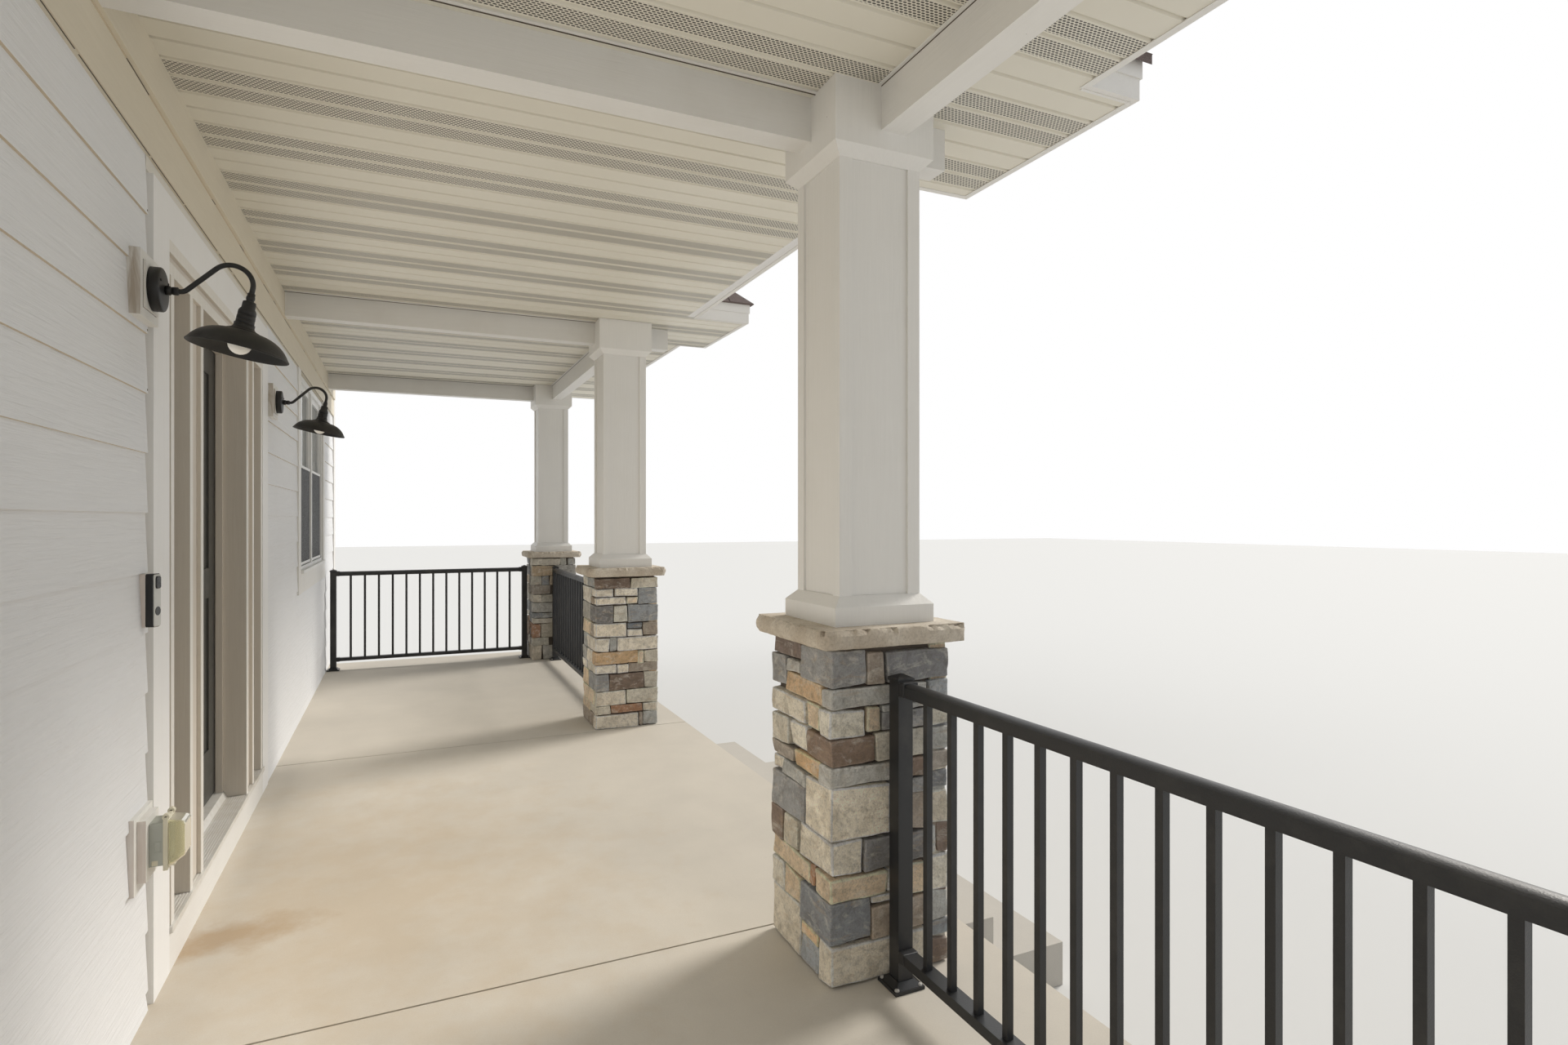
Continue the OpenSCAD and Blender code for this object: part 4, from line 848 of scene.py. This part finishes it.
def gable_siding():
    """Siding of the gable's front, above a plain band."""
    m, band = Mesh(), Mesh()
    lo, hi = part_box("gable_face")
    y, half, z0 = lo.y, hi.x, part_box("fascia_left")[1].z
    k = half / (hi.z - z0)
    low = 0.19
    z = z0 + 0.02
    band.box((-MID[1].x, y - 0.018, CEIL), (MID[1].x, y, z))
    while z < hi.z - low - 0.02:
        t = min(z + LAP, hi.z - low)
        a, b = max(half - (z - z0 + low) * k, 0.002), max(half - (t - z0 + low) * k, 0.001)
        lap(m, z, t, -a, a, -b, b, y)
        z += LAP
    band.done("gable_band", M_TRIM_X, "trim", bevel=0.002)
    m.done("gable_siding", [M_GABLE, M_TAN_EDGE_AND_PAINTED_LIGHT], "gable_wall")


gable_siding()


# Ceiling boards

def soffit_part(name, ranges, node):
    """Boards along Y with V grooves between them. ranges gives the reach in Y for stretches of X."""
    m = Mesh()
    lo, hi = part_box(node)
    zt, zb = hi.z, lo.z
    # A groove's flat and sloped widths, and its depth
    w0, w1, d = 0.0030, 0.0075, 0.007
    for x0, x1, y0, y1 in ranges:
        k0 = math.ceil((x0 + JOINT + 0.009) / BOARD)
        joints = [k * BOARD - JOINT for k in range(k0, k0 + 120) if k * BOARD - JOINT < x1 - 0.009]
        edge = [x0] + joints + [x1]
        for a, b in zip(edge, edge[1:]):
            # Each board steps up into the groove on one side and slopes into it on the other
            ring = [(a, zt)]
            if a == x0:
                ring.append((a, zb))
            else:
                ring += [(a, zb + d), (a + w0, zb + d), (a + w1, zb)]
            if b == x1:
                ring.append((b, zb))
            else:
                ring += [(b - w1, zb), (b - w1 + 0.001, zb + d), (b, zb + d)]
            ring.append((b, zt))
            m.loft([[(u, y, v) for u, v in ring] for y in (y1, y0)])
    m.done(name, M_SOFFIT, "ceiling", [node])


# Edges of a side ceiling from the middle out and from the street in, with the return between them
RX = [levels("ceiling_right", 0)[i] for i in (0, 1, -2, -1)]
RY = levels("ceiling_right", 1)[:3]
parts = [(RX[0], RX[1], RY[2], 0.0), (RX[1], RX[2], RY[0], 0.0), (RX[2], RX[3], RY[1], 0.0)]
soffit_part("soffit_right", parts, "ceiling_right")
soffit_part("soffit_left", [(-b, -a, c, d) for a, b, c, d in parts][::-1], "ceiling_left")
soffit_part("soffit_mid", [(MID[0].x, MID[1].x, MID[0].y, MID[1].y)], "ceiling_mid")


def seams():
    """Cream strips, partly caulk and partly painted highlight, along the frieze's joints, and dark strips of
    painted shade in its open stretches.
    """
    caulk_and_highlight, gap = Mesh(), Mesh()
    y = levels("frieze_boards", 1)[1]
    low, mid = levels("frieze_boards", 2)[:2]
    r = random.Random(5)
    end = CORNER_X - 0.03
    x = -end
    # Along the step between the boards: cream caulk that is also the painted highlight of the step's edge, broken
    # by dark strips of painted shade
    while x < end:
        w = min(r.uniform(0.15, 0.9), end - x)
        caulk_and_highlight.box((x, y - 0.0028, mid - 0.0032), (x + w, y + 0.001, mid + 0.001))
        x += w
        w = min(r.uniform(0.03, 0.30), end - x)
        if w > 0:
            gap.box((x, y - 0.0012, mid - 0.0030), (x + w, y + 0.001, mid + 0.001))
            x += w
    # A thin cream strip of painted highlight along the low board's edge, with an open joint below it, drawn as a
    # dark strip of painted shade, that fades in and out
    caulk_and_highlight.box((-end, y - 0.0006, low + 0.0004), (end, y + 0.001, low + 0.0030))
    x = -end
    while x < CORNER_X - 0.05:
        w = min(r.uniform(0.25, 1.1), end - x)
        gap.box((x, y + 0.0008, low - 0.0010), (x + w, y + 0.0030, low + 0.0003))
        x += w + r.uniform(0.01, 0.06)
    caulk_and_highlight.done("frieze_caulk_and_highlight_strips", M_TAN_EDGE_AND_PAINTED_LIGHT, "trim")
    gap.done("frieze_gap_shadows", M_GAP_SHADE_NAILS_PINS, "trim")


seams()


def trims():
    """Channels that hold the soffit panels' ends, and dark strips of painted shade for the gaps over the beams.
    """
    m, g = Mesh(), Mesh()
    # Width and depth of a channel, and the width of a gap
    w, t, e = 0.013, 0.0028, 0.0006
    # Channels at the eave run from off to wide inside its edge
    off, wide = 0.0005, 0.011
    wall = FRIEZE[0].y
    y_out, y_in = (v.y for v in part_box("front_beams"))

    def strip(x0, y0, x1, y1, s=1):
        m.box((x0, y0, CEIL - t), (x1, y1, CEIL + 0.001), s)

    # A dark strip of painted shade where a beam meets the ceiling
    def gap(x0, y0, x1, y1):
        g.box((x0, y0, CEIL - t - 0.0035), (x1, y1, CEIL - t + 0.0004))

    half = (y_in - y_out) / 2
    edges = [-RX[3]] + [x + d * half for x in COLUMNS for d in (-1, 1)] + [RX[3]]
    for i in range(5):
        a, b = edges[2 * i:2 * i + 2]
        for x, d in ((a, 1), (b, -1)):
            if abs(x) != RX[3]:
                strip(x, wall, x + d * w, y_in if i in (1, 2, 3) else y_out)
                gap(x - d * 0.0002, wall, x + d * e, y_in)
        if i in (1, 3):
            strip(a + w, y_in, b - w, y_in + w)
            gap(a, y_in - 0.0002, b, y_in + e)
            strip(a, y_out, b, y_out - w)
            gap(a, y_out + 0.0002, b, y_out - e)
    eave = [(RX[0], RY[2]), (RX[1], RY[2]), (RX[1], RY[0]), (RX[2], RY[0]), (RX[2], RY[1]), (RX[3], RY[1]),
            (RX[3], wall)]
    for s in (1, -1):
        for (x0, y0), (x1, y1) in zip(eave, eave[1:]):
            if y0 == y1:
                strip(x0, y0 + off, x1, y0 + wide, s)
            else:
                d = 1 if x0 <= RX[1] else -1
                strip(x0 + d * off, min(y0, y1) + wide + 0.0002, x0 + d * wide, max(y0, y1), s)
    strip(-RX[0], RY[2] + off, RX[0], RY[2] + wide)
    m.done("soffit_channels", M_TRIM_X, "ceiling")
    g.done("beam_gap_shadows", M_GAP_SHADE_NAILS_PINS, "ceiling")


trims()


# Shingles

SHINGLE_TONE = (0.105, 0.080, 0.078)
# How far a cap shingle reaches down each side of a ridge or hip
CAP_REACH = 0.11


def tiles(m, origin, ex, es, span, length, seed):
    """Rows of shingles on a plane. ex runs along the eave, es up the slope; span(s) gives the reach on ex."""
    o, ex, es = Vector(origin), Vector(ex).normalized(), Vector(es).normalized()
    up = ex.cross(es)
    mirrored = up.z < 0
    if mirrored:
        up = -up
    r = random.Random(seed)
    # Each row reaches under the next, and a slit parts the shingles of a row
    under, slit = 0.02, 0.003

    def at(x, s, high):
        return o + ex * x + es * s + up * high

    s = 0.0
    while s < length - under:
        t = min(s + SHINGLE + under, length)
        (a0, b0), (a1, b1) = span(s), span(t)
        x = min(a0, a1) - r.uniform(0, 0.2)
        while x < max(b0, b1):
            w = r.uniform(0.14, 0.33)
            p0, q0 = max(x, a0), min(x + w - slit, b0)
            p1, q1 = max(x, a1), min(x + w - slit, b1)
            if q0 - p0 > 0.004 or q1 - p1 > 0.004:
                if q0 - p0 < 0.001:
                    p0 = q0 = min(max((p0 + q0) / 2, a0), b0)
                if q1 - p1 < 0.001:
                    p1 = q1 = min(max((p1 + q1) / 2, a1), b1)
                high = r.choice([0.004, 0.0055, 0.0075])
                low = s + (r.choice([0, 0, -0.010]) if s > 0.05 else 0)
                if mirrored:
                    p0, q0, p1, q1 = q0, p0, q1, p1
                m.loft([[at(p0, low, 0), at(q0, low, 0), at(q0, low, high), at(p0, low, high)],
                        [at(p1, t, 0), at(q1, t, 0), at(q1, t, 0.001), at(p1, t, 0.001)]],
                       shade(SHINGLE_TONE, r.choice([0.55, 0.75, 0.9, 1.0, 1.15, 1.35])))
            x += w
        s += SHINGLE


def ridge(m, a, b, seed, sides):
    """Bent cap shingles along a ridge or hip from a low point to a high one."""
    a, b = Vector(a), Vector(b)
    n = max(1, int((b - a).length / SHINGLE))
    h0, h1 = Vector((0, 0, 0.011)), Vector((0, 0, 0.004))
    r = random.Random(seed)
    for i in range(n):
        p = a + (b - a) * (i / n)
        q = a + (b - a) * min(1.0, (i + 1.25) / n)
        tone = shade(SHINGLE_TONE, r.choice([0.7, 0.85, 1.0, 1.15]))
        for side in sides:
            v = Vector(side) * CAP_REACH
            m.loft([[p, p + v, p + v + h0, p + h0], [q, q + v, q + v + h1, q + h1]], tone)


def build_roof():
    """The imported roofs' lowest edges are cut upright, so each slope comes from its two top edges."""
    main, gable, small = Mesh(), Mesh(), Mesh()
    ex, ey, top = MAIN[1].x, MAIN[0].y, MAIN[1].z
    edge_top = max(p.z for p in points("main_roof") if abs(p.y - ey) < 1e-4)
    deep = abs(ey)
    slope = (top - edge_top) / deep
    k = math.hypot(1, slope)
    gx, gy, gtop = GABLE[1].x, GABLE[0].y, GABLE[1].z
    g_edge = max(p.z for p in points("gable_roof") if abs(p.x - gx) < 1e-4)
    g_slope = (gtop - g_edge) / gx
    gk = math.hypot(1, g_slope)

    def valley(d):
        """Where a row of the front slope begins beside the gable."""
        return gx - (edge_top + slope * (d / k) - g_edge) / g_slope

    def reach(d):
        """How far back from its front edge the gable's slope runs before it meets the main roof."""
        t = (g_edge + g_slope * d / gk - edge_top) / slope
        return 0, min(abs(gy), abs(gy) - deep + max(t, 0) if t < deep else abs(gy))

    for s in (1, -1):
        # Front slope and hip end, then the gable's slope in from its edge
        tiles(main, (0, ey, edge_top), (s, 0, 0), (0, 1, slope), lambda d: (valley(d), ex - d / k),
              deep * k, 11 + s)
        tiles(main, (s * ex, 0, edge_top), (0, -1, 0), (-s, 0, slope), lambda d: (0, deep - d / k),
              deep * k, 21 + s)
        ridge(main, (s * ex, ey, edge_top), (s * (ex - deep), 0, top), 31 + s, [(-s, 0, 0), (0, 1, 0)])
        tiles(gable, (s * gx, gy, g_edge), (0, 1, 0), (-s, 0, g_slope), reach, gx * gk, 41 + s)
    fall = -0.77 * g_slope
    ridge(gable, (0, gy, gtop), (0, 0, gtop), 51, [(0.77, 0, fall), (-0.77, 0, fall)])
    # Small roofs on the returns, which slope at 45 degrees under the rake's soffit
    lo, hi = RETURN
    run, rk = hi.y - lo.y, math.sqrt(2)
    for s in (1, -1):
        pts = [p for p in points("return_roofs") if p.x * s > 0]
        x_in, x_out = ends(p.x * s for p in pts)
        foot = max(p.x * s for p in pts if abs(p.z - lo.z) < 1e-3)

        def front(d):
            return x_in + d / rk, min(x_out, foot - d / rk / g_slope)

        tiles(small, (0, lo.y, lo.z), (s, 0, 0), (0, 1, 1), front, run * rk, 61 + s)
        tiles(small, (s * x_in, hi.y, lo.z), (0, -1, 0), (s, 0, 1), lambda d: (0, run - d / rk), run * rk,
              71 + s)
    main.done("shingles_main", M_SHINGLE, "shingles")
    gable.done("shingles_gable", M_SHINGLE, "shingles")
    small.done("shingles_returns", M_SHINGLE, "shingles")


build_roof()


# Wall lights

def build_lamps():
    """Wall plate, arm, socket, shade and bulb; the profiles are pairs of radius and height."""
    arm, shades, bulbs = Mesh(), Mesh(), Mesh()
    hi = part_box("light_arms")[1]
    low, top = ends(p.z for p in points("light_arms") if p.x > 0 and abs(p.y - hi.y) < 1e-4)
    cz, pr = (low + top) / 2, (top - low) / 2
    lean = math.radians(11)
    # The arm's path as pairs out from the wall and up: level, a small bend up, and a wide one over
    bend, br, ca, cu, cr, drop = 0.062, 0.024, 0.184, 0.038, 0.052, 0.040
    rise = math.asin((br + cr) / math.hypot(ca - bend, cu - br)) + math.atan2(cu - br, ca - bend)
    right = math.pi / 2
    path = [(0.020, 0.0), (0.054, 0.0)]
    for a in (rise * i / 8 - right for i in range(9)):
        path.append((bend + br * math.cos(a), br + br * math.sin(a)))
    for a in (right + rise - (right + rise + lean) * i / 24 for i in range(25)):
        path.append((ca + cr * math.cos(a), cu + cr * math.sin(a)))
    so = ca + cr * math.cos(lean) - drop * math.sin(lean)
    su = cu - cr * math.sin(lean) - drop * math.cos(lean)
    path.append((so, su))
    # The shade's outline over its rim: rolled edge, dome up to a crease, flare and neck
    crown, high, rim = 0.0425, 0.0570, 0.1262
    turn = 2 * math.atan(high / (rim - crown))
    dome_r = (rim - crown) / math.sin(turn)

    def arc(radius, k):
        return crown + radius * math.sin(turn * k / 12), high - dome_r + radius * math.cos(turn * k / 12)

    outline = [(0.0262, 0.082), (0.0262, 0.0735), (0.0275, 0.0700), (0.0310, 0.0660), (0.0365, 0.0630),
               (crown - 0.001, 0.0612), (crown + 0.0004, 0.0600), (crown + 0.0008, high + 0.0006)]
    outline += [arc(dome_r, k) for k in range(1, 12)]
    outline += [(rim + 0.0004, 0.0024), (rim + 0.0016, 0.0012), (rim + 0.0016, -0.0008), (rim, -0.0018),
                (rim - 0.0016, -0.0008)]
    outline += [arc(dome_r - 0.0028, k) for k in range(11, 0, -1)]
    outline += [(crown - 0.002, high - 0.0028), (0.034, 0.0600), (0.0236, 0.0700), (0.0236, 0.082)]
    flat = Matrix.Rotation(math.radians(90), 4, "X")
    for s in (1, -1):
        x = s * (hi.x - pr)
        wall = Matrix.Translation((x, hi.y, cz)) @ flat
        arm.lathe([(0, 0), (pr, 0), (pr, 0.0215), (pr - 0.0015, 0.0245), (pr - 0.005, 0.0262),
                   (pr - 0.014, 0.0275), (0.016, 0.0300), (0, 0.0300)], wall, 64)
        arm.lathe(mm("0 29, 13 29, 13 40.5, 11.5 42.5, 10 43, 10 45.5, 11.2 46, 11.2 58, 9.5 60, 0 60"), wall, 28)
        arm.tube([(x, hi.y - o, cz + u) for o, u in path], 0.007, 20)
        down = Matrix.Translation((x, hi.y - so, cz + su)) @ Matrix.Rotation(lean, 4, "X")
        arm.lathe(mm("0 26, 8.5 26, 10 24.5, 10 16, 11.2 15.5, 11.2 8, 10 7.5, 10 1, 15 0.5, "
                     "16.8 -1.5, 17.2 -19, 21.2 -25, 22.8 -30, 22.8 -39.5, 21.8 -40, 21.8 -42, "
                     "23.2 -42.5, 23.2 -53, 22.2 -53.5, 22.2 -55, 23.4 -55.5, 23.4 -68, 0 -68"),
                  down, 44)
        shades.lathe([(r, z - 0.147) for r, z in outline], down, 80)
        bulbs.lathe(mm("0 -60, 13 -60, 13.6 -80, 16.8 -93, 22.8 -104, 27.8 -113.5, 30 -125, "
                       "28.8 -133.4, 25.6 -140.7, 20.6 -146.8, 14 -151.6, 7 -154.3, 0 -155"), down, 40)
        for a in (0.6, 2.7):
            screw = wall @ Vector((math.cos(a) * 0.044, math.sin(a) * 0.044, 0.0275))
            arm.lathe(mm("0 0, 4.2 0, 4 2, 0 3"), Matrix.Translation(screw) @ flat, 12)
    arm.done("lamp_arms", M_LAMP, "black_metal", ["light_arms"], smooth=True)
    shades.done("lamp_shades", M_LAMP, "black_metal", ["light_shades"], smooth=True)
    bulbs.done("lamp_bulbs", M_BULB, "bulb", ["light_bulbs"], smooth=True)


build_lamps()


# Window screens and small parts

def build_screens():
    """A screen in a thin frame over the low half of each window unit."""
    wire, bars = Mesh(), Mesh()
    # How far a frame reaches over the pane and the wire into the frame, and the width of its bars
    over, tuck, t = 0.030, 0.014, 0.018
    panes = points("glass_panes")
    heights = [p.z for p in panes if abs(p.x) > 2]
    mid = sorted({round(z, 3) for z in heights})
    z0, z1 = min(heights) - over, mid[len(mid) // 2] + over
    xs = sorted({round(p.x, 3) for p in panes if p.x > 2})
    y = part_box("window_frames")[0].y + 0.036
    for a, b in (xs[:2], xs[2:4]):
        x0, x1 = a - over, b + over
        for s in (1, -1):
            wire.box((x0 + tuck, y + 0.004, z0 + tuck), (x1 - tuck, y + 0.0046, z1 - tuck), s)
            for c, d, e, f in ((x0, z0, x1, z0 + t), (x0, z1 - t, x1, z1), (x0, z0 + t, x0 + t, z1 - t),
                               (x1 - t, z0 + t, x1, z1 - t)):
                bars.box((c, y, d), (e, y + 0.009, f), s)
    wire.done("window_screens", M_SCREEN, "black_metal")
    bars.done("screen_bars", M_VINYL, "window_frame", bevel=0.0008)


build_screens()


def build_joints(gap):
    """Dark strips of painted shade in the open joints round the raised middles of the lamps' blocks."""
    tops = [p for p in points("mount_blocks") if p.z > FLOOR + HIGH_BLOCK and p.x > 0]
    y = min(p.y for p in tops)
    mids = [p for p in tops if p.y < y + 1e-4]
    a, b = ends(p.x for p in mids)
    z0, z1 = ends(p.z for p in mids)
    y_rim = sorted({round(p.y, 4) for p in tops})[1]
    t = 0.0012
    for s in (1, -1):
        for c, d, e, f in ((a - t, b + t, z0 - t, z0), (a - t, b + t, z1, z1 + t), (a - t, a, z0, z1),
                           (b, b + t, z0, z1)):
            gap.box((c, y_rim - 0.0004, e), (d, y_rim + 0.001, f), s)


def build_outlet(gap):
    """Grey box, cream frame, yellowed lid with a sloped underside, and two knuckles with their pins."""
    base, cream, lid = Mesh(), Mesh(), Mesh()
    lo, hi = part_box("outlet_cover")
    cx, yb, cz = (lo.x + hi.x) / 2, hi.y, lo.z + 0.0725
    y1, yf = yb - 0.043, lo.y + 0.004
    base.box((cx - 0.036, yb - 0.033, cz - 0.059), (cx + 0.036, yb, cz + 0.059))
    for s in (1, -1):
        u, v = cx + s * 0.0340, cx + s * 0.0372
        for ya, yc, za, zc in ((0.027, 0.011, -0.022, -0.019), (0.027, 0.011, 0.006, 0.009),
                               (0.027, 0.0245, -0.019, 0.006), (0.0135, 0.011, -0.019, 0.006)):
            base.box((u, yb - ya, cz + za), (v, yb - yc, cz + zc))
        cream.box((u, yb - 0.020, cz - 0.057), (v, yb - 0.006, cz - 0.043))
    cream.box((cx - 0.040, y1, cz - 0.0725), (cx + 0.040, yb - 0.032, cz + 0.0725))
    cream.box((cx - 0.010, y1 - 0.010, cz - 0.0710), (cx + 0.010, y1 + 0.002, cz - 0.0640))
    profile = [(y1 + 0.001, -0.0640), (y1 - 0.008, -0.0625), (yf + 0.010, -0.0455), (yf + 0.003, -0.0405),
               (yf, -0.0330), (yf, 0.0490), (yf + 0.003, 0.0550), (yf + 0.010, 0.0590), (y1 - 0.008, 0.0625),
               (y1 + 0.001, 0.0640)]
    my = (y1 + yf) / 2
    # The outer skin, and an inner skin turned inside out that leaves the lid hollow
    for inset, way in ((1.0, 1), (0.90, -1)):
        rings = []
        for x, k in ((-0.0360, 0.86), (-0.0345, 0.94), (-0.0310, 1.0), (0.0310, 1.0), (0.0345, 0.94),
                     (0.0360, 0.86)):
            k *= inset
            rings.append([(cx + x * inset, min(my + (y - my) * k, y1 + 0.001), cz + z * k)
                          for y, z in profile])
        lid.loft(rings, way=way)
    base.box((cx - 0.027, y1 - 0.0012, cz - 0.050), (cx + 0.027, y1 + 0.001, cz + 0.050))
    across = Matrix.Rotation(math.radians(90), 4, "Y")
    for x in (-0.0285, 0.0285):
        knuckle = Matrix.Translation((cx + x, yb - 0.0375, cz + 0.0725)) @ across
        for mesh, r, half, n in ((cream, 0.0088, 0.0075, 24), (gap, 0.0030, 0.0079, 14)):
            mesh.lathe([(0, -half), (r, -half), (r, half), (0, half)], knuckle, n)
    base.done("outlet_box", M_BOX, "outlet", ["outlet_cover"], bevel=0.002)
    cream.done("outlet_frame", M_CREAM, "outlet", bevel=0.0015)
    lid.done("outlet_lid", M_LID, "outlet", bevel=0.0012)


def build_bell():
    """Black body on its wedge, pale front plate, dark lens window and round button."""
    bell, plate = Mesh(), Mesh()
    pts = points("doorbell")
    z0, z1 = ends(p.z for p in pts)
    tall = z1 - z0
    foot = sorted({(round(p.x, 5), round(p.y, 5)) for p in pts})
    left, right = [sorted(side, key=lambda q: q[1]) for side in (foot[:2], foot[2:])]
    # Front edge from left to right, and the way in towards the wall
    fl, fr, bl = [Vector((*q, 0)) for q in (left[0], right[0], left[1])]
    ax = (fr - fl).normalized()
    back = Vector((-ax.y, ax.x, 0))
    wide = (fr - fl).length
    mid = fl + ax * wide / 2

    def place(u, d, z):
        q = mid + ax * u + back * d
        return (q.x, q.y, z)

    def outline(hw, lo, hi, r):
        w = hw - r
        for cx, cz, a0 in ((w, hi - r, 0), (-w, hi - r, 90), (-w, lo + r, 180), (w, lo + r, 270)):
            for a in (math.radians(a0 + 15 * i) for i in range(7)):
                yield cx + r * math.cos(a), cz + r * math.sin(a)

    def slab(mesh, hw, lo, hi, r, d0, d1, soft):
        """A plate from depth d1 to d0 with round corners and a softened front edge."""
        rows = ((d1, 0), (d0 + soft, 0), (d0 + soft * 0.3, soft * 0.7), (d0, soft))
        mesh.loft([[place(u, d, z) for u, z in outline(hw - k, lo + k, hi - k, r - k)] for d, k in rows],
                  way=-1)

    slab(bell, wide / 2, z0, z1, 0.006, 0.0025, (bl - fl).length, 0.002)
    slab(plate, wide / 2 - 0.002, z0 + 0.002, z1 - 0.002, 0.005, 0.0, 0.004, 0.002)
    slab(bell, wide * 0.30, z0 + tall * 0.72, z1 - 0.007, 0.006, -0.0035, 0.001, 0.0015)
    bell.lathe(mm("0 -1, 12.5 -1, 12.5 0.8, 11.8 1.2, 0 1.2"),
               stand(place(0, 0.0002, z0 + tall * 0.30), -back), 36)
    bell.lathe(mm("0 -1, 8.5 -1, 8.5 0.4, 6 0.8, 0 0.6"),
               stand(place(0, -0.0032, z0 + tall * 0.85), -back), 28)
    bell.done("bell_body", M_BELL, "bell", ["doorbell"])
    plate.done("bell_plate", M_NICKEL, "bell")


joint_shadows_and_pins = Mesh()
build_joints(joint_shadows_and_pins)
build_outlet(joint_shadows_and_pins)
build_bell()
joint_shadows_and_pins.done("block_joint_shadows_and_pins", M_GAP_SHADE_NAILS_PINS, "trim")


def build_small():
    """Bolts in the corners of the posts' foot plates, and brackets at the rails' ends."""
    bolts, brackets = Mesh(), Mesh()
    feet = {(round(p.x, 3), round(p.y, 3)) for p in points("rail_posts") if abs(p.z - FLOOR) < 1e-4}
    for x, y in sorted(feet):
        plate = [c for c in feet if abs(c[0] - x) < 0.12 and abs(c[1] - y) < 0.12]
        mx, my = (sum(c[i] for c in plate) / len(plate) for i in (0, 1))
        at = (x + math.copysign(0.011, mx - x), y + math.copysign(0.011, my - y), FLOOR + 0.010)
        bolts.dome(at, (0, 0, 1), 0.0075, 0.006)
    half = 0.026
    for name, axis in (("rail_front_right", 0), ("rail_end_right", 1)):
        lo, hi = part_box(name)
        c = (lo[1 - axis] + hi[1 - axis]) / 2
        for e, d in ((lo[axis], 1), (hi[axis], -1)):
            along, across = (e, e + d * 0.028), (c - half, c + half)
            xs, ys = (along, across) if axis == 0 else (across, along)
            for z, top in ((hi.z - 0.042, hi.z + 0.003), (lo.z - 0.003, lo.z + 0.033)):
                for s in (1, -1):
                    brackets.box((xs[0], ys[0], z), (xs[1], ys[1], top), s)
    bolts.done("post_bolts", M_SCREW, "black_metal", smooth=True)
    brackets.done("rail_brackets", M_RAIL, "black_metal", bevel=0.003)


build_small()


# Materials and edges of the CAD nodes that stay
dress(M_FLOOR, 0.006, "porch_slab")
dress(M_STEP, 0.008, "upper_step lower_step")
dress(M_FOOTING, 0.003, "foundation")
dress(M_SIDING, 0, "wall_left wall_right wall_over_door")
dress(M_GABLE, 0, "gable_face")
dress(M_FRIEZE_SHADED, 0.002, "frieze_boards")
dress(M_TRIM_Z, 0.0015, "corner_boards column_shafts")
dress(M_CASING, 0.0015, "entry_casing")
dress(M_TRIM_Z, 0.0025, "column_bases column_capitals")
dress(M_BLOCK, 0.0015, "mount_blocks")
dress(M_TRIM_X, 0.002, "entry_riser front_beams fascia_left fascia_right window_casings rake_boards")
dress(M_TRIM_Y, 0.002, "cross_beams")
dress(M_JAMB, 0.0012, "entry_frame sidelight_sashes")
dress(M_SILL, 0, "entry_sill")
dress(M_DOOR, 0.0015, "front_door")
dress(M_HARD, 0.0012, "door_hardware hinge_plates")
dress(M_SHINGLE, 0, "main_roof gable_roof return_roofs")
dress(M_RAIL, 0.0015, "rail_front_left rail_front_right rail_end_left rail_end_right")
dress(M_RAIL, 0.002, "rail_posts")
dress(M_VINYL, 0.0015, "window_frames")
dress(M_GLASS, 0, "glass_panes")
for name in ("main_roof", "gable_roof", "return_roofs"):
    me = NODE[name].data
    tint = me.color_attributes.new("tint", "FLOAT_COLOR", "POINT")
    tint.data.foreach_set("color", [0.09, 0.07, 0.068, 1] * len(me.vertices))


# Studio

def studio():
    """A pale floor, a white backdrop, two suns, and the light that a sunlit wall and floor throw back."""
    me = bpy.data.meshes.new("floor")
    reach = 60
    me.from_pydata([(x * reach, y * reach, -0.001) for x, y in ((-1, -1), (1, -1), (1, 1), (-1, 1))], [],
                   [(0, 1, 2, 3)])
    me.materials.append(Net("studio_floor", (0.70, 0.70, 0.69), 0.9).m)
    link("studio_floor", me)
    world = bpy.data.worlds.new("world")
    bpy.context.scene.world = world
    world.use_nodes = True
    w = Tree(world.node_tree)
    lit = w.add("Background", Color=(0.95, 0.975, 1.0), Strength=0.56)
    back = w.add("Background", Color=(1, 1, 1), Strength=1.0)
    rays = w.node("LightPath")
    seen = w.math("MAXIMUM", rays["Is Camera Ray"], rays["Is Glossy Ray"])
    seen = w.math("MAXIMUM", seen, rays["Is Transmission Ray"])
    w.t.links.new(w.add("MixShader", i0=seen, i1=lit, i2=back), w.t.nodes["World Output"].inputs[0])

    def lamp(name, kind, way, energy, color):
        data = bpy.data.lights.new(name, kind)
        data.energy, data.color = energy, color
        ob = link(name, data)
        ob.rotation_euler = Vector(way).to_track_quat("-Z", "Y").to_euler()
        return ob

    def sun(name, way, strength, angle, color):
        ob = lamp(name, "SUN", way, strength, color)
        ob.data.angle = math.radians(angle)
        ob.location = -Vector(way) * 10

    def panel(name, at, way, width, height, power, color):
        ob = lamp(name, "AREA", way, power, color)
        ob.data.shape, ob.data.size, ob.data.size_y = "RECTANGLE", width, height
        ob.location = at
        ob.visible_camera = ob.visible_glossy = ob.visible_transmission = False

    sun("key", (-0.30, 1.0, -0.85), 2.35, 18, (1.0, 0.95, 0.88))
    sun("back", (0.35, -1.0, -0.70), 0.75, 40, (1.0, 0.985, 0.96))
    panel("wall_bounce", (-1.5, -0.12, FLOOR + 1.25), (0, -1, 0), 6.5, 2.2, 20, (1.0, 0.93, 0.82))
    panel("floor_bounce", (-1.0, COL_Y / 2, FLOOR + 0.02), (0, 0, 1), 7.0, 1.6, 1.5, (1.0, 0.85, 0.62))


studio()
bpy.context.scene.view_settings.view_transform = "Standard"
